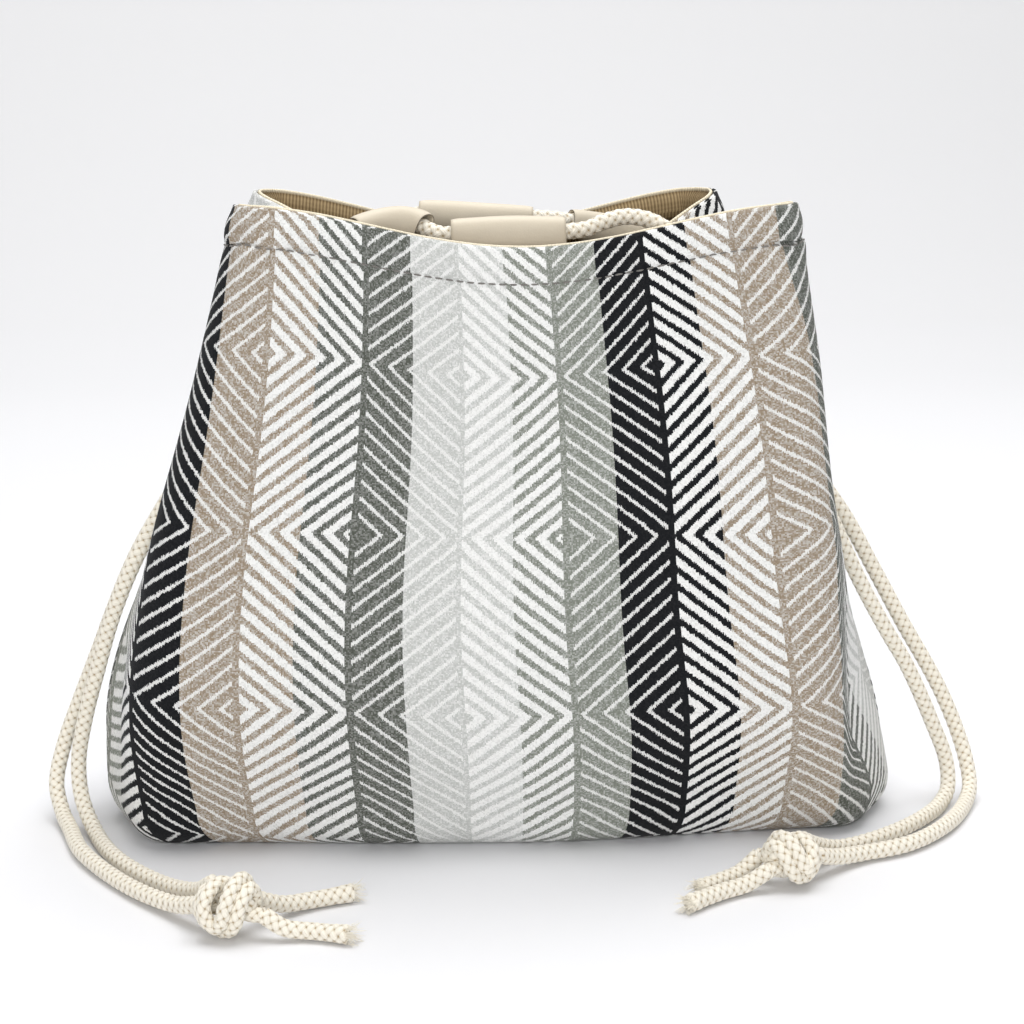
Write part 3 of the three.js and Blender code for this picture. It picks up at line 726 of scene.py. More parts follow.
def outline(v, side):
    """Plan of the front (side -1) or back (side 1) half at heights v, from left seam to right seam:
    the seam's arc, the gusset, the corner's arc and the bowed face, then the same mirrored. The front
    sinks in at its right corner. One row of points for each height."""
    v = v[:, None]
    x = level(FRONT_X if side < 0 else BACK_X, v)
    y = side * level(CORNER_Y, v)
    corner = np.stack([x, y], -1)
    seam = np.stack([level(SEAM_X, v), 0 * v], -1)
    run = level(CORNER_RUN, v)[..., None]
    seam_run = level(SEAM_RUN, v)[..., None]
    seam_near = seam + seam_run * unit(corner - seam)
    seam_far = seam + seam_run * unit(corner * [1, -1] - seam)
    gusset = corner + run * unit(seam - corner)
    face = corner - run * [1, 0]
    t = np.linspace(0, 1, ON_ARC, endpoint=False)
    a = np.linspace(1, 0, ON_FACE)
    bowed = np.stack([face[..., 0] * a, face[..., 1] + side * level(BOW, v) * (1 - a * a) ** 2], -1)
    right = np.concatenate([
        arc(seam_far, seam, seam_near, SEAM_FROM + (1 - SEAM_FROM) * t),
        seam_near + (gusset - seam_near) * t[None, :, None],
        arc(gusset, corner, face, t),
        bowed,
    ], 1)
    left = right[:, :-1] * [-1, 1]
    if side < 0:
        share = eased(right[..., 0] / x) * eased(right[..., 1] / y)
        right = right + share[..., None] * np.stack([-level(DENT_X, v), level(DENT_Y, v)], -1)
    return np.concatenate([left, right[:, ::-1]], 1)


def rim_heights(side):
    """Height of the rim at each point of a half outline: down at the gusset folds and at the middle
    of the face."""
    s = run_lengths(outline(np.ones(1), side))[0]
    a, b, end = s[CORNER_MID], s[-1 - CORNER_MID], s[-1]
    drop = RIM_SAG * (0.5 + 0.5 * np.cos(np.pi * (2 * (s - a) / (b - a) - 1)))
    drop = np.where(s < a, RIM_FOLD * eased(1 - s / a), drop)
    return RIM_CORNER - np.where(s > b, RIM_FOLD * eased((s - b) / (end - b)), drop)


def wall_rows(v, side):
    """Rows of the bare outer face at heights v, with the bottom edge rolled under and the mouth
    leaned and turned."""
    plan = outline(np.maximum(v, ROLL_TOP), side)
    d = np.gradient(plan, axis=1)
    normal = -side * np.stack([d[..., 1], -d[..., 0]], -1)
    normal[:, [0, -1], 1] = 0
    turn = np.arccos(np.clip(1 - v / ROLL_TOP, 0, 1))
    normal = unit(normal)
    inset = ROLL_END + (ROLL_FACE - ROLL_END) * normal[..., 1:] ** 2
    plan = plan - normal * inset * (1 - np.sin(turn))[:, None, None]
    x = plan[..., 0] + level(LEAN, v)[:, None] - TWIST * plan[..., 1] * (v ** TWIST_RISE)[:, None]
    return np.stack([x, plan[..., 1], v[:, None] * rim_heights(side)], -1)


def spread(rows, shares, cut):
    """Rows of points at even shares of each row's length, without a cut length at both ends. Also
    gives each point's distance from the middle of its row, as a share of the half length."""
    s = run_lengths(rows)
    whole = s[:, -1:]
    at = cut[:, None] + (whole - 2 * cut[:, None]) * shares
    points = [np.stack([np.interp(a, b, r[:, k]) for a, b, r in zip(at, s, rows)]) for k in range(3)]
    return np.stack(points, -1), 2 * at / whole - 1


def below(d):
    """Height, as a share, of a line at distance d below the rim."""
    return 1 - d / RIM_CORNER


COLUMNS = np.linspace(0, 1, 241)
ROLL_STEPS = (1 - np.cos(np.radians(np.arange(0, 90, 9)))) * ROLL_TOP
WALL_STEPS = np.linspace(ROLL_TOP, below(CASING + 2 * MM), 112)
CASING_DOWNS = MM * np.concatenate([[11.9, 11.5, 11.1], 0.8 * np.arange(13, -1, -1)])
HEIGHTS = np.concatenate([ROLL_STEPS, WALL_STEPS, below(CASING_DOWNS)])


class Wall:
    """The outer face of one half as a grid: points, place across in half bands and in metres from the
    middle, distance down from the rim, and weft, which is that distance with the rim's sag levelled
    out, tilted and let out at the foot. Soft waves, a pucker along the casing and pinched seams stand
    on it."""

    def __init__(self, side, notch):
        bare = wall_rows(HEIGHTS, side)
        cut = np.where(HEIGHTS > below(CASING - NOTCH_EDGE / 2), notch, 0.0)
        whole, even = spread(bare, COLUMNS, 0 * HEIGHTS)
        rows, share = spread(bare, COLUMNS, cut)
        down = run_lengths(whole[::-1].swapaxes(0, 1)).T[::-1]
        half = run_lengths(rows)[:, -1:] / 2
        self.side = side
        self.down = np.stack([np.interp(a, b, d) for a, b, d in zip(share, even, down)])
        self.across = share * half
        self.band = self.bands(share, half, rows[..., 2])
        sag = (RIM_CORNER - rows[-1:, :, 2]) * np.clip(self.down / LEVEL_ROW, 0, 1)
        foot = FOOT_SPARE * eased(1 - (RIM_CORNER - self.down) / FOOT)
        self.weft = self.down + sag - ROW_TILT * share + foot
        self.points = rows
        self.points = rows + self.normals() * self.relief(share)[..., None]

    def bands(self, share, half, z):
        """Place across the cloth in half bands: the share of the half length over the spread, less
        the pull, both by height, times the half bands to the seam. At the front's right corner it is
        let out, then tucked in."""
        face = share / level(SPREAD, HEIGHTS)[:, None] - level(PULL, HEIGHTS)[:, None] / half
        if self.side > 0:
            return MIDDLE_BAND + BACK_SHIFT + BACK_BAND * face
        band = MIDDLE_BAND + SEAM_BAND * face
        slack = SLACK * hump(z, SLACK_FROM, SLACK_TOP, SLACK_RISE)
        tuck = TUCK * hump(z, TUCK_FROM, TUCK_TOP, TUCK_RISE)
        band = band - slack * np.clip(band - SLACK_BAND, 0, 1)
        return band + tuck * eased((band - TUCK_BAND) / TUCK_RUN)

    def normals(self):
        """Outward normals, level along both seams."""
        n = np.cross(np.gradient(self.points, axis=1), np.gradient(self.points, axis=0)) * -self.side
        n[:, [0, -1], 1] = 0
        return unit(n)

    def relief(self, share):
        """How far the cloth stands off its plain shape: soft waves on the free cloth and folds on the
        gussets; along the casing a pucker, the groove of its stitches and the bulge over its cord,
        each a bell curve of the distance from its line; and a pinch that dies away from the side
        seams."""
        seed = 3 + self.side
        edge = 1 - np.abs(share)
        free = eased(self.down / FREE_RIM) * eased((RIM_CORNER - self.down) / FREE_FOOT)
        gusset = eased((GUSSET - edge) / GUSSET_RUN) * eased(edge / SEAM_CLEAR)
        soft = SOFT * waves(self.across, self.down, seed, 7, SOFT_LONG)
        folds = FOLD * waves(self.across * 2.2, self.down * 0.6, seed + 10, 5, FOLD_LONG)
        ripple = PUCKER * waves(self.across, self.down * 0.3, seed + 20, 6, PUCKER_LONG)
        seam = self.down - CASING
        casing = ripple * bell(seam, PUCKER_REACH) - STITCH_SINK * bell(seam, STITCH_REACH)
        cord = CORD_BULGE * bell(self.down - CORD_DOWN, CORD_REACH)
        return (soft + folds * gusset) * free + casing + cord - PINCH * np.exp(-edge * PINCH_RATE)

    def at(self, depth):
        """The grid at a depth under the outer face; depth is a number or a grid."""
        return self.points - self.normals() * np.broadcast_to(depth, self.down.shape)[..., None]


def shell(wall, outer, inner, lip):
    """A closed layer of cloth between two grids of one wall. The top edge is rounded over and raised
    by lip, and the other three edges are closed by a strip."""
    up = unit(wall.points[-1] - wall.points[-3])
    half = (outer[-1] - inner[-1]) / 2
    middle = (outer[-1] + inner[-1]) / 2
    round_over = np.linalg.norm(half, axis=-1, keepdims=True)

    def edge(degrees):
        a = math.radians(degrees)
        return middle + half * math.cos(a) + up * (lip + round_over * math.sin(a))

    outer = np.concatenate([outer, [edge(0), edge(30), edge(60), edge(90)]])
    inner = np.concatenate([inner, [edge(180), edge(150), edge(120)]])
    over = -EDGE_STEP * np.arange(1, 5)[:, None] * np.ones(outer.shape[1])
    return outer, inner, np.concatenate([wall.weft, over])


def layer_piece(name, wall, outer, inner, lip, place, kind):
    """The mesh of a layer. place gives the uv grid from the grids of half bands, metres across and
    distances down."""
    outer, inner, down = shell(wall, outer, inner, lip)
    rows, columns = outer.shape[:2]
    grown = len(down) - len(wall.weft)
    band, across = (np.concatenate([g, np.repeat(g[-1:], grown, 0)]) for g in (wall.band, wall.across))
    uv = place(band, across, down)
    flip = wall.side > 0
    inner_rows = len(inner)
    first = rows * columns
    faces = [grid_faces(rows, columns, 0, flip), grid_faces(inner_rows, columns, first, not flip)]
    pairs = [grid_uv(uv, flip), grid_uv(uv[:inner_rows], not flip)]
    ids = np.arange(rows * columns).reshape(rows, columns)
    ins = first + np.arange(inner_rows * columns).reshape(inner_rows, columns)

    def close(a, b, uv_a, turn):
        quads = strip(a, b)
        corner = np.stack([uv_a[:-1], uv_a[1:], uv_a[1:], uv_a[:-1]], 1)
        if turn:
            quads, corner = quads[:, ::-1], corner[:, ::-1]
        faces.append(quads)
        pairs.append(corner.reshape(-1, 2))

    close(ids[0], ins[0], uv[0], not flip)
    close(ids[-1], ins[-1], uv[-1], flip)
    for column, turn in ((0, flip), (-1, not flip)):
        close(ids[:inner_rows, column], ins[:, column], uv[:inner_rows, column], turn)
        last = np.array([[ids[inner_rows - 1, column], ids[inner_rows, column], ins[-1, column]]])
        faces.append(last[:, ::-1] if turn else last)
        pairs.append(uv[[inner_rows - 1, inner_rows, inner_rows - 1], column])
    points = np.concatenate([outer.reshape(-1, 3), inner.reshape(-1, 3)])
    return put_mesh(name, points, faces, pairs, kind)


def cloth_place(band, across, down):
    """Half bands across, and rows of diamonds down from the first."""
    look = bpy.context.scene.bag_cloth
    return np.stack([band, (down - FIRST_ROW) / look.row], -1)


def lining_place(band, across, down):
    """Metres across and down, for the ribs."""
    return np.stack([across, down], -1)


def ride(piece, body, slot, *nodes):
    """Sets a piece on its body and hides the nodes that it stands for. slot, its finish, is not used."""
    if nodes:
        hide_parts(*nodes)
    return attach(piece, body)


# Lines and cords
CURVE_STEPS = 40


def through(points, step):
    """The centripetal Catmull-Rom curve through points, resampled at an even step."""
    p = np.asarray(points, float)
    p = np.concatenate([[2 * p[0] - p[1]], p, [2 * p[-1] - p[-2]]])
    d = np.sqrt(np.linalg.norm(np.diff(p, axis=0), axis=1))[:, None]
    d0, d1, d2 = d[:-2], d[1:-1], d[2:]
    x0, x1, x2, x3 = p[:-3], p[1:-2], p[2:-1], p[3:]
    m1 = d1 * ((x1 - x0) / d0 - (x2 - x0) / (d0 + d1) + (x2 - x1) / d1)
    m2 = d1 * ((x2 - x1) / d1 - (x3 - x1) / (d1 + d2) + (x3 - x2) / d2)
    t = np.linspace(0, 1, CURVE_STEPS, endpoint=False)[None, :, None]
    u = 1 - t
    curve = u * u * ((1 + 2 * t) * x1[:, None] + t * m1[:, None])
    curve = curve + t * t * ((1 + 2 * u) * x2[:, None] - u * m2[:, None])
    return evenly(np.concatenate([curve.reshape(-1, 3), p[-2:-1]]), step)


def evenly(line, step):
    """A line of points resampled at an even step, ends kept."""
    s = run_lengths(line)
    at = np.linspace(0, s[-1], max(3, round(s[-1] / step) + 1))
    return np.stack([np.interp(at, s, line[:, k]) for k in range(3)], -1)


def across_line(line, guide=None):
    """Tangents of a line, and two directions across it: each is the last one, or the guide, freed of
    the tangent."""
    tangent = unit(np.gradient(line, axis=0))
    side = np.empty_like(tangent)
    held = np.eye(3)[np.argmin(np.abs(tangent[0]))]
    for i, t in enumerate(tangent):
        held = held if guide is None else np.array(guide, float)
        held = held - t * (held @ t)
        held = held / np.linalg.norm(held)
        side[i] = held
    return tangent, side, np.cross(tangent, side)


def rings(one, two, sides):
    """Directions round a line: two directions across it, times the cosine and sine of even angles."""
    angle = 2 * np.pi * np.arange(sides)[:, None] / sides
    return np.cos(angle) * one[..., None, :] + np.sin(angle) * two[..., None, :]


# Braid: step along a cord, and shares of its radius: the depth between plaits and the cone at an end
BRAID_STEP = 0.42 * MM
BRAID_CORE = 0.74
BRAID_CAP = 0.25
PLAIT_ROUND = 0.92
PLAIT_DIP = 0.34
FLOOR_CLEAR = 0.05 * MM


def plaits(x, y):
    """Height of a braid at x plaits round and y plaits along, from 0 between plaits to 1 on their
    crowns. Plaits lie along a = x + y and b = x - y; one is over where the two whole parts add up to
    an even number, and each is round across and dips at its ends."""
    a = x + y
    b = x - y
    even = (np.floor(a) + np.floor(b)) % 2 < 0.5
    across = np.where(even, a, b) % 1
    along = np.where(even, b, a) % 1
    crown = np.sqrt(1 - PLAIT_ROUND * (2 * across - 1) ** 2)
    return crown * (1 - PLAIT_DIP + PLAIT_DIP * np.sin(np.pi * along))


def braid(line, swell=None, sides=40):
    """A braided cord along an even line: rings whose radius follows the plaits, closed by a cone at
    both ends. swell scales the radius along the line. Gives points, faces and uv pairs."""
    look = bpy.context.scene.bag_cord
    tangent, side, other = across_line(line)
    x = look.carriers * np.arange(sides) / sides
    y = run_lengths(line) / look.plait
    r = look.radius * (BRAID_CORE + (1 - BRAID_CORE) * plaits(x[None], y[:, None]))
    r = r * (np.ones(len(line)) if swell is None else swell)[:, None]
    points = line[:, None] + r[..., None] * rings(side, other, sides)
    points[..., 2] = np.maximum(points[..., 2], FLOOR_CLEAR)
    cap = BRAID_CAP * look.radius
    ends = [line[0] - tangent[0] * cap, line[-1] + tangent[-1] * cap]
    n = len(line)
    wide = np.append(x, look.carriers)
    uv = np.stack(np.broadcast_arrays(wide[None], y[:, None]), -1)
    k = np.arange(sides)
    m = (k + 1) % sides
    fans = [np.stack([np.full(sides, n * sides), m, k], -1),
            np.stack([np.full(sides, n * sides + 1), (n - 1) * sides + k, (n - 1) * sides + m], -1)]
    fan_uv = [np.stack([uv[0, :-1], uv[0, 1:], uv[0, :-1]], 1).reshape(-1, 2),
              np.stack([uv[-1, :-1], uv[-1, :-1], uv[-1, 1:]], 1).reshape(-1, 2)]
    faces = [grid_faces(n, sides, around=True), *fans]
    return np.concatenate([points.reshape(-1, 3), ends]), faces, [grid_uv(uv), *fan_uv]


def gather(parts):
    """Several sets of points, faces and uv pairs as one."""
    points, faces, uv, first = [], [], [], 0
    for p, f, w in parts:
        points.append(p)
        faces += [a + first for a in f]
        uv += w
        first += len(p)
    return np.concatenate(points), faces, uv


# Stage: places and sizes of the lamps and where they aim, and the backdrop's reach
KEY_PLACE = (-0.2, -1.75, 0.62)
KEY_SIZE = 1.1
TOP_PLACE = (0.1, 0.25, 1.5)
TOP_SIZE = 1.5
LAMP_AIM = (0, 0, 0.1)
FLOOR_SIDE = 5.0
FLOOR_FRONT = -4.0
FLOOR_BACK = 1.0
BEND = 1.8
BACKDROP_TOP = 4.0


class BAG_OT_stage(bpy.types.Operator):
    """Camera, pale floor with a curved backdrop, and soft studio light"""
    bl_idname = "bag.stage"
    bl_label = "Stage"

    def execute(self, context):
        look = context.scene.bag_stage
        camera = bpy.data.cameras.new("camera")
        camera.lens = look.lens
        camera.sensor_width = 36
        eye = bpy.data.objects.new("camera", camera)
        eye.location = look.eye
        flat = math.cos(look.pitch)
        ahead = Vector((flat * math.sin(look.yaw), flat * math.cos(look.yaw), -math.sin(look.pitch)))
        eye.rotation_mode = "QUATERNION"
        eye.rotation_quaternion = ahead.to_track_quat("-Z", "Y")
        context.scene.collection.objects.link(eye)
        context.scene.camera = eye
        self.backdrop()
        self.lamp("key", look.key, KEY_PLACE, KEY_SIZE)
        self.lamp("top", look.top, TOP_PLACE, TOP_SIZE)
        world = bpy.data.worlds.new("studio")
        world.use_nodes = True
        sky = world.node_tree.nodes["Background"].inputs
        sky["Color"].default_value = (1, 1, 1, 1)
        sky["Strength"].default_value = look.sky
        context.scene.world = world
        context.scene.view_settings.view_transform = "Standard"
        return {"FINISHED"}

    def backdrop(self):
        """A floor that bends up behind the bag in a quarter circle: the profile carried across in x."""
        bend = np.radians(np.linspace(0, 90, 13))
        y = np.concatenate([[FLOOR_FRONT], FLOOR_BACK + BEND * np.sin(bend), [FLOOR_BACK + BEND]])
        z = np.concatenate([[0.0], BEND * (1 - np.cos(bend)), [BACKDROP_TOP]])
        x = np.array([-FLOOR_SIDE, FLOOR_SIDE])
        points = np.stack(np.broadcast_arrays(x[None], y[:, None], z[:, None]), -1)
        faces = [grid_faces(len(y), 2)]
        return put_mesh("floor", points.reshape(-1, 3), faces, [grid_uv(points[..., :2])], "pale_floor")

    def lamp(self, name, power, place, size):
        """A square area light at a place, turned to the bag."""
        light = bpy.data.lights.new(name, "AREA")
        light.energy = power
        light.size = size
        lamp = bpy.data.objects.new(name, light)
        lamp.location = place
        lamp.rotation_mode = "QUATERNION"
        lamp.rotation_quaternion = (Vector(LAMP_AIM) - lamp.location).to_track_quat("-Z", "Y")
        bpy.context.scene.collection.objects.link(lamp)


# Turns of an overhand knot, for the width given: along the pull, away from the front, up
KNOT_ACROSS = 20
KNOT_TURNS = [
    (-5, 1.5, 0.5), (0, 2.5, 0), (4.5, 4.8, -1.5), (5.4, 5, 2.5), (5.2, 1.8, 6.4), (4.6, -3, 5.6),
    (3.6, -5.8, 1), (1.6, -5, -4.2), (-1.8, -3.4, -6.2), (-5.2, -4.6, -3.2), (-6.2, -4.6, 1.2),
    (-4.8, -1.4, 5), (-2.6, 3, 4), (1, 1.6, 1), (6, -0.5, -0.4),
]
KNOT_ROLL = {"left": 0.0, "right": -0.5}
# The knot's two cords lie side by side, drawn tight and clear of the floor
KNOT_PAIR = 2.0 * MM
KNOT_STEP = 1.5 * MM
KNOT_TIGHT = 0.88
KNOT_SIDES = 32
KNOT_LOW = 2.5 * MM
# The cut ends swell, and fray into thin strands
CUT_SWELL = 0.12
CUT_RUN = 7 * MM
FRAY_COUNT = 70
FRAY_LONG = 4.5 * MM
FRAY_R = 0.1 * MM
FRAY_THIN = np.array([1, 1, 0.9, 0.7, 0.4])


class BAG_OT_cords(bpy.types.Operator):
    """Free ends of the drawcords: strands, overhand knots and frayed tails"""
    bl_idname = "bag.cords"
    bl_label = "Cord ends"

    def execute(self, context):
        for hand in ("left", "right"):
            pull = f"{hand}_pull"
            knot = self.knot(hand)
            ride(knot, pull, "cotton_cord", f"{hand}_knot")
            for where in ("front", "rear"):
                name = f"{hand}_{where}_tail"
                tail = self.tail(name)
                ride(tail, pull, "cotton_cord", name)
            for where in ("front", "rear"):
                name = f"{hand}_{where}_strand"
                line = through(MM * np.array(ROUTE[name]), BRAID_STEP)
                strand = put_mesh(f"{name}_cord", *braid(line), "cotton_cord")
                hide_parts(name)
                run_lengths(line)[-1]
                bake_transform(strand)
        return {"FINISHED"}

    def settled(self, line, tip):
        """A point on the way from the strand's hanging part to its knot, before which the tail's tip
        doesn't come."""
        start = line[len(line) // 7]
        reach = line[-1] - start
        share = min(1.0, ((tip - start) @ reach) / (reach @ reach))
        return start + reach * share * 0.92

    def knot(self, hand):
        """An overhand knot of the two cords side by side: each follows the knot's turns, from the end
        of its strand to the start of its tail. The right knot is the mirror image, rolled about its
        pull."""
        low, high = (np.array(c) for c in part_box(f"{hand}_knot"))
        middle = (low + high) / 2
        mirror = 1 if hand == "left" else -1
        pairs = {where: (MM * np.array(ROUTE[f"{hand}_{where}_strand"][-1]),
                         MM * np.array(ROUTE[f"{hand}_{where}_tail"][0])) for where in ("front", "rear")}
        along = unit(sum(leave - enter for enter, leave in pairs.values()) * [1, 1, 0])
        up = np.array([0, 0, 1.0])
        aside = mirror * np.cross(up, along)
        roll = KNOT_ROLL[hand]
        axes = np.array([along, aside * math.cos(roll) + up * math.sin(roll),
                         up * math.cos(roll) - aside * math.sin(roll)])
        turns = through((high[0] - low[0]) / KNOT_ACROSS * np.array(KNOT_TURNS), KNOT_STEP)
        beside = unit(np.cross(np.gradient(turns, axis=0), turns))
        parts = []
        for where, share in (("front", -KNOT_PAIR), ("rear", KNOT_PAIR)):
            enter, leave = pairs[where]
            loop = middle + (turns + beside * share) @ axes
            loop[:, 2] = np.maximum(loop[:, 2], KNOT_LOW)
            line = through(np.concatenate([[enter], loop, [leave]]), BRAID_STEP)
            parts.append(braid(line, np.full(len(line), KNOT_TIGHT), KNOT_SIDES))
        return put_mesh(f"{hand}_knot_cords", *gather(parts), "cotton_cord")

    def tail(self, name):
        """A short braided end that swells towards its cut, with loose fibres past it."""
        line = through(MM * np.array(ROUTE[name]), BRAID_STEP)
        s = run_lengths(line)
        swell = 1 + CUT_SWELL * eased((s - s[-1] + CUT_RUN) / CUT_RUN)
        parts = [braid(line, swell), *self.fray(line, sum(map(ord, name)))]
        return put_mesh(f"{name}_cord", *gather(parts), "cotton_cord")

    def fray(self, line, seed):
        """Loose fibres past a cut end: thin three-sided strands that bend apart, each a quadratic in
        its length."""
        look = bpy.context.scene.bag_cord
        rng = np.random.default_rng(seed)
        tangent, side, other = across_line(line)
        made = []
        count = len(FRAY_THIN)
        t = np.linspace(0, 1, count)[:, None]
        last = 3 * (count - 1)
        faces = [grid_faces(count, 3, around=True), np.array([[2, 1, 0]]), last + np.array([[0, 1, 2]])]
        uv = np.full((sum(f.size for f in faces), 2), 0.25)
        for turn, far, long, bend, lift in rng.random((FRAY_COUNT, 5)):
            around = math.cos(2 * math.pi * turn) * side[-1] + math.sin(2 * math.pi * turn) * other[-1]
            start = line[-1] + around * look.radius * math.sqrt(far)
            reach = FRAY_LONG * (0.35 + 0.65 * long)
            path = start + tangent[-1] * reach * t + around * reach * (0.1 + 0.5 * bend) * t ** 2
            path = path + np.array([0, 0, 1]) * reach * (lift - 0.6) * 0.5 * t ** 2
            path[:, 2] = np.maximum(path[:, 2], 2 * FRAY_R)
            _, one, two = across_line(path)
            points = path[:, None] + rings(one, two, 3) * FRAY_R * FRAY_THIN[:, None, None]
            made.append((points.reshape(-1, 3), faces, [uv]))
        return made


class BAG_OT_panels(bpy.types.Operator):
    """Front and back panels of striped cloth with their folded gussets"""
    bl_idname = "bag.panels"
    bl_label = "Panels"

    def execute(self, context):
        for name, side in HALVES:
            wall = Wall(side, NOTCH)
            piece = layer_piece(f"{name}_panel_cloth", wall, wall.at(0), wall.at(CLOTH), 0.0, cloth_place,
                                "striped_cloth")
            ride(piece, "bag", "striped_cloth", f"{name}_panel")
        return {"FINISHED"}


class BAG_OT_linings(bpy.types.Operator):
    """Front and back lining, round the drawcord at the rim"""
    bl_idname = "bag.linings"
    bl_label = "Linings"

    def execute(self, context):
        for name, side in HALVES:
            wall = Wall(side, 0.0)
            wall.weft = wall.down
            round_cord = np.clip(1 - ((wall.down - CORD_DOWN) / CORD_ROOM) ** 2, 0, 1) ** CORD_WRAP
            depth = SKIN + BEHIND * round_cord
            piece = layer_piece(f"{name}_lining_cloth", wall, wall.at(depth), wall.at(depth + LINING),
                                LINING_LIP, lining_place, "lining_cloth")
            ride(piece, "bag", "lining_cloth", f"{name}_lining")
        return {"FINISHED"}


BASE_GAP = 0.35 * MM
BASE_RISE = 1.2 * MM
BASE_RINGS = 25
BASE_WAVE = 80 * MM


class BAG_OT_base(bpy.types.Operator):
    """Base panel and its lining"""
    bl_idname = "bag.base"
    bl_label = "Base"

    def execute(self, context):
        look = context.scene.bag_cloth
        for kind, low, thick, rise in (("panel", 0.0, CLOTH, 0.0), ("lining", SKIN, LINING, BASE_RISE)):
            slot = "striped_cloth" if kind == "panel" else "lining_cloth"
            scale = (look.half_band, look.row) if kind == "panel" else (1, 1)
            piece = self.plate(f"base_{kind}_cloth", low, thick, rise, scale, slot)
            ride(piece, "bag", slot, f"base_{kind}")
        return {"FINISHED"}

    def plate(self, name, low, thick, rise, scale, kind):
        """A flat cloth plate: rings from the middle out to the walls' lower edge, on top slightly
        domed."""
        ring = [wall_rows(np.zeros(1), side)[0] for side in (-1, 1)]
        rim = np.concatenate([ring[0][::4], ring[1][::-4]])
        rim = rim - unit(rim) * BASE_GAP
        share = np.linspace(0, 1, BASE_RINGS + 1)[1:]
        grid = rim[None] * share[:, None, None]
        uneven = 1 + 0.5 * waves(grid[..., 0], grid[..., 1], 5, 5, BASE_WAVE)
        dome = rise * (1 - share ** 2)[:, None] * uneven
        under = grid.copy()
        under[..., 2] = low
        over = grid.copy()
        over[..., 2] = low + thick + dome
        n = rim.shape[0]
        m = len(share)
        points = np.concatenate([under.reshape(-1, 3), over.reshape(-1, 3),
                                 [[0, 0, low], [0, 0, low + thick + dome[0].mean()]]])
        k = np.arange(n)
        nxt = (k + 1) % n
        rim_under = (m - 1) * n
        rim_over = rim_under + m * n
        faces = [grid_faces(m, n, 0, True, True), grid_faces(m, n, m * n, False, True),
                 np.stack([np.full(n, 2 * m * n), nxt, k], -1),
                 np.stack([np.full(n, 2 * m * n + 1), m * n + k, m * n + nxt], -1),
                 np.stack([rim_under + k, rim_under + nxt, rim_over + nxt, rim_over + k], -1)]
        flat = points[:, :2] / np.array(scale) + np.array([MIDDLE_BAND if scale[0] < 1 else 0, 0])
        uv = [flat[f.ravel()] for f in faces]
        return put_mesh(name, points, faces, uv, kind)


DRAWCORD_SIDES = 24
# Stitches: their grid, the length without any at the ends, and their arch and sink in thread radii
STITCH_RINGS = 7
STITCH_SIDES = 6
STITCH_CLEAR = 6 * MM
STITCH_ARCH = 0.9
STITCH_SUNK = 0.35


class BAG_OT_casing(bpy.types.Operator):
    """Drawcords in the casing, and the stitches that close it"""
    bl_idname = "bag.casing"
    bl_label = "Casing"

    def execute(self, context):
        for name, side in HALVES:
            rows = wall_rows(below(np.array([CORD_DOWN, CORD_DOWN + 2 * MM])), side)
            line = self.inset(rows, side, CORD_DEEP)
            s = run_lengths(line)
            line = line[np.minimum(s, s[-1] - s) > NOTCH + 2 * MM]
            plaited = braid(evenly(line, 2 * BRAID_STEP), None, DRAWCORD_SIDES)
            cord = put_mesh(f"{name}_drawcord_braid", *plaited, "cotton_cord")
            ride(cord, "bag", "cotton_cord", f"{name}_drawcord")
            ride(self.stitches(name, side), "bag", "sewing_thread", f"{name}_casing_thread")
        return {"FINISHED"}

    def inset(self, rows, side, depth):
        """The first of two neighbouring rows, moved inwards by a depth."""
        n = np.cross(np.gradient(rows[0], axis=0), rows[0] - rows[1]) * -side
        return rows[0] - unit(n) * depth

    def stitches(self, name, side):
        """A running line of short thread capsules on the cloth, sunk at both ends: a round section
        carried along an arched path."""
        look = bpy.context.scene.bag_thread
        wall = Wall(side, NOTCH)
        row = int(np.argmin(np.abs(HEIGHTS - below(CASING))))
        line = wall.points[row]
        normal = wall.normals()[row]
        s = run_lengths(line)
        count = int((s[-1] - 2 * NOTCH - STITCH_CLEAR) / look.pitch)
        start = (s[-1] - count * look.pitch) / 2
        t = np.linspace(0, 1, STITCH_RINGS)
        at = start + look.pitch * np.arange(count)[:, None] + look.stitch * t
        lift = look.radius * (STITCH_ARCH * np.sin(np.pi * t) - STITCH_SUNK)
        middle, out = (np.stack([np.interp(at, s, g[:, k]) for k in range(3)], -1)
                       for g in (line, normal))
        out = unit(out)
        path = middle + out * lift[None, :, None]
        along = unit(np.gradient(path, axis=1))
        beside = np.cross(along, out)
        thin = look.radius * np.sqrt(np.clip(1 - (2 * t - 1) ** 6, 0.05, 1))
        points = path[:, :, None] + rings(out, beside, STITCH_SIDES) * thin[:, None, None]
        one = grid_faces(STITCH_RINGS, STITCH_SIDES, around=True, flip=True)
        uv = np.stack(np.broadcast_arrays(np.linspace(0, 1, STITCH_SIDES + 1)[None], t[:, None]), -1)
        first = STITCH_RINGS * STITCH_SIDES * np.arange(count)[:, None]
        k = np.arange(STITCH_SIDES)
        ends = [k + first, (STITCH_RINGS - 1) * STITCH_SIDES + k[::-1] + first]
        faces = [(one[None] + first[..., None]).reshape(-1, 4), *ends]
        pairs = [np.tile(grid_uv(uv, True), (count, 1)), np.zeros((2 * count * STITCH_SIDES, 2))]
        return put_mesh(f"{name}_casing_stitches", points.reshape(-1, 3), faces, pairs, "sewing_thread")


def handle_line(name):
    """The places of a handle cord's route, from hinge to hinge, in metres."""
    side, route = HANDLES[name]
    x, inset, up = MM * np.array(route).T
    return np.stack([x, side * (CORNER_Y[-1] - inset), RIM_CORNER + up], -1)


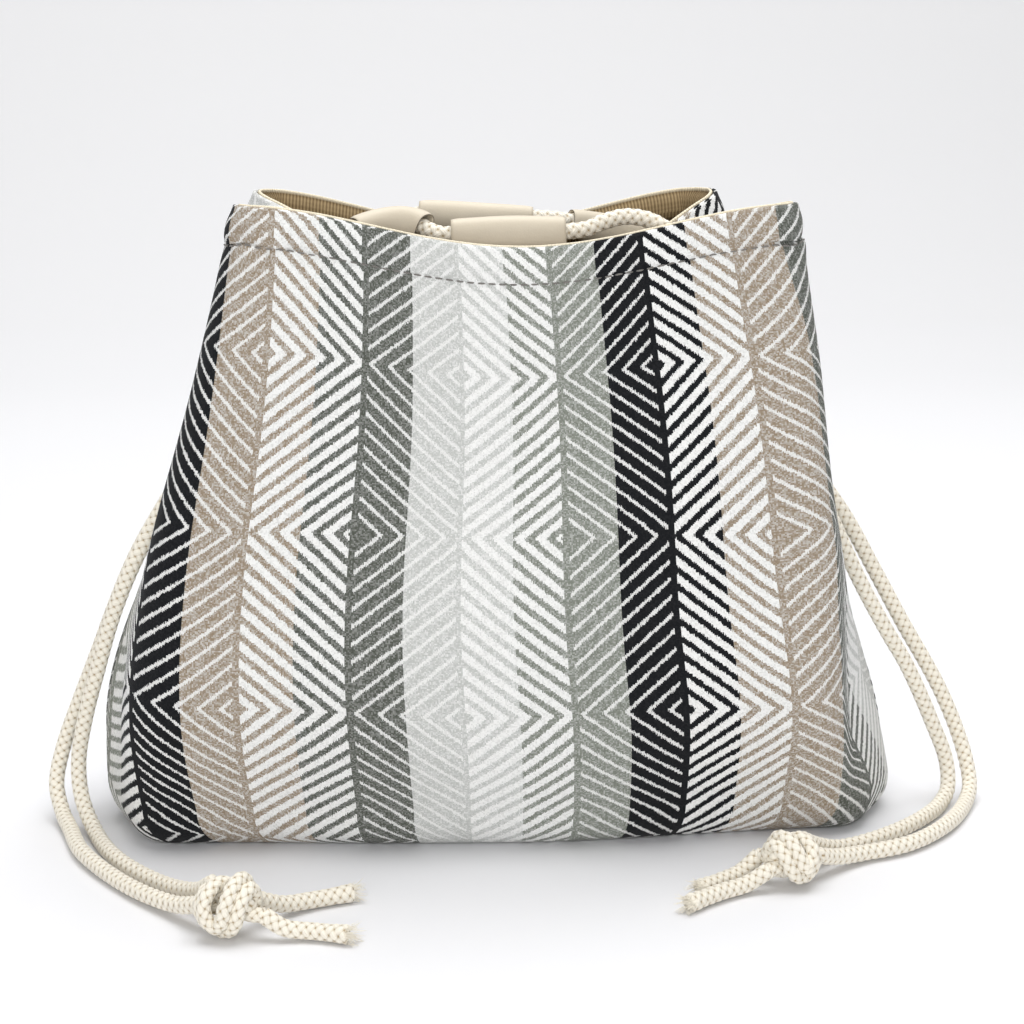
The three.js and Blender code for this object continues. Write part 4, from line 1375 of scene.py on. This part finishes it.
class BAG_OT_handles(bpy.types.Operator):
    """Handle cords, each in one length from tab to tab"""
    bl_idname = "bag.handles"
    bl_label = "Handle cords"

    def execute(self, context):
        for name in HANDLES:
            places = handle_line(name)
            ends = [self.sewn(name, hand) for hand in ("left", "right")]
            line = through(np.concatenate([ends[0], places, ends[1][::-1]]), BRAID_STEP)
            piece = put_mesh(f"{name}_handle_braid", *braid(line), "cotton_cord")
            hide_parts(f"{name}_handle_cord", f"{name}_left_handle_end",
                        f"{name}_right_handle_end")
            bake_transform(piece)
        return {"FINISHED"}

    def sewn(self, name, hand):
        """The end of a handle cord under its tab, from the cut end up to below the hinge."""
        low, high = (np.array(c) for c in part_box(f"{name}_{hand}_handle_end"))
        side, _ = HANDLES[name]
        hinge = handle_line(name)[0 if hand == "left" else -1]
        tab_low, tab_high = (np.array(c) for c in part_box(f"{name}_{hand}_tab"))
        x = (tab_low[0] + tab_high[0]) / 2
        wall_y = high[1] - CORD_R if side > 0 else low[1] + CORD_R
        up = tab_high[2]
        return np.array([
            [x, wall_y, low[2] + 0.3 * MM],
            [x, wall_y, (low[2] + up) / 2],
            [x, wall_y - side * 0.4 * MM, up],
            [(x + hinge[0]) / 2, (wall_y + hinge[1]) / 2, (up + hinge[2]) / 2],
            [hinge[0], hinge[1] + side * 0.5 * MM, hinge[2] - 4 * MM],
        ])


# Sleeves: handle, body, reach in x, roundness and taper
SLEEVES = {
    "front_left_sleeve": ("front", "front_handle", (-47, -25), 2.4, (0.9, 1.0)),
    "front_right_sleeve": ("front", "front_grip", (-17, 19), 3.0, (1.0, 1.0)),
    "rear_left_sleeve": ("rear", "rear_grip", (-26, 11), 2.1, (0.98, 0.8)),
    "rear_right_sleeve": ("rear", "rear_handle", (23, 47), 2.3, (0.85, 0.9)),
}
# How far they hang down on the cord, their grid, the slit below, and how full and round-edged they are
SLEEVE_HANG = 0.7 * MM
SLEEVE_RINGS = 40
SLEEVE_SIDES = 60
SLEEVE_SLIT = math.radians(4)
SLEEVE_FULL = 0.06
SLEEVE_ROUND = 0.32


class BAG_OT_sleeves(bpy.types.Operator):
    """Leather sleeves on the handle cords"""
    bl_idname = "bag.sleeves"
    bl_label = "Sleeves"

    def execute(self, context):
        for name, (handle, body, (left, right), power, taper) in SLEEVES.items():
            line = through(handle_line(handle), 0.25 * MM)
            line = line[(line[:, 0] >= left * MM) & (line[:, 0] <= right * MM)]
            line = evenly(line, run_lengths(line)[-1] / SLEEVE_RINGS)
            ride(self.sleeve(name, line, power, taper), body, "leather", name)
        return {"FINISHED"}

    def sleeve(self, name, line, power, taper):
        """Leather rolled into an oval tube and butted underneath: a super-ellipse section with a
        wall, open by a hair's width below, carried along the cord, tapered and a little fuller in the
        middle; its cut ends are rounded over."""
        look = bpy.context.scene.bag_leather
        _, up, over = across_line(line, (0, 0, 1))
        turn = np.linspace(math.pi + SLEEVE_SLIT, 3 * math.pi - SLEEVE_SLIT, SLEEVE_SIDES)
        c, s = np.cos(turn), np.sin(turn)
        round_in = np.array([1.0, 0.55, 0.2, 0])
        ends = np.concatenate([round_in, np.zeros(len(line) - 2 * len(round_in)), round_in[::-1]])
        t = np.linspace(0, 1, len(line))
        full = (taper[0] + (taper[1] - taper[0]) * t + SLEEVE_FULL * np.sin(np.pi * t))[:, None]
        skins = []
        for wall in (0.0, look.wall):
            inward = ends * look.wall * (SLEEVE_ROUND if wall == 0 else -SLEEVE_ROUND)
            high = full * look.high / 2 - wall - inward[:, None]
            deep = full * look.deep / 2 - wall - inward[:, None]
            a = high * np.sign(c) * np.abs(c) ** (2 / power) - SLEEVE_HANG
            b = deep * np.sign(s) * np.abs(s) ** (2 / power)
            skins.append(line[:, None] + a[..., None] * up[:, None] + b[..., None] * over[:, None])
        outer, inner = skins
        n, m = outer.shape[:2]
        ids = np.arange(n * m).reshape(n, m)
        ins = ids + n * m
        quads = [grid_faces(n, m), grid_faces(n, m, n * m, True), strip(ids[0], ins[0])[:, ::-1],
                 strip(ids[-1], ins[-1]), strip(ids[:, 0], ins[:, 0]),
                 strip(ids[:, -1], ins[:, -1])[:, ::-1]]
        count = sum(len(q) for q in quads)
        cut = np.zeros(count, int)
        cut[len(quads[0]) + len(quads[1]):] = 1
        uv = [np.zeros((count * 4, 2))]
        points = np.concatenate([outer.reshape(-1, 3), inner.reshape(-1, 3)])
        return put_mesh(f"{name}_leather", points, quads, uv, "leather", "leather_edge", face_finish=cut)


class BAG_OT_tabs(bpy.types.Operator):
    """Leather tabs inside, over the sewn ends of the handle cords"""
    bl_idname = "bag.tabs"
    bl_label = "Tabs"

    def execute(self, context):
        for name in ("front_left_tab", "front_right_tab", "rear_left_tab", "rear_right_tab"):
            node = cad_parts[name]
            node.data.materials.clear()
            node.data.materials.append(finish("leather"))
        return {"FINISHED"}


class BAG_PT_panel(bpy.types.Panel):
    """Lists the bag's pieces and finishes"""
    bl_idname = "BAG_PT_panel"
    bl_label = "Drawstring bag"
    bl_space_type = "VIEW_3D"
    bl_region_type = "UI"
    bl_category = "Bag"

    def draw(self, context):
        for step in STEPS:
            self.layout.operator(step.bl_idname)
        for group in GROUPS:
            box = self.layout.box()
            box.label(text=group.__doc__)
            for key in group.__annotations__:
                box.prop(getattr(context.scene, GROUPS[group]), key)


GROUPS = {BagCloth: "bag_cloth", BagCord: "bag_cord", BagLining: "bag_lining", BagLeather: "bag_leather",
          BagThread: "bag_thread", BagStage: "bag_stage"}
STEPS = (BAG_OT_stage, BAG_OT_cords, BAG_OT_panels, BAG_OT_linings, BAG_OT_base, BAG_OT_casing,
         BAG_OT_handles, BAG_OT_sleeves, BAG_OT_tabs)


def register():
    for kind in (*GROUPS, *STEPS, BAG_PT_panel):
        bpy.utils.register_class(kind)
    for group, name in GROUPS.items():
        setattr(bpy.types.Scene, name, PointerProperty(type=group))


def unregister():
    for name in GROUPS.values():
        delattr(bpy.types.Scene, name)
    for kind in (BAG_PT_panel, *STEPS[::-1], *GROUPS):
        bpy.utils.unregister_class(kind)


def main():
    register()
    for step in STEPS:
        group, action = step.bl_idname.split(".")
        getattr(getattr(bpy.ops, group), action)()


if __name__ == "__main__":
    main()
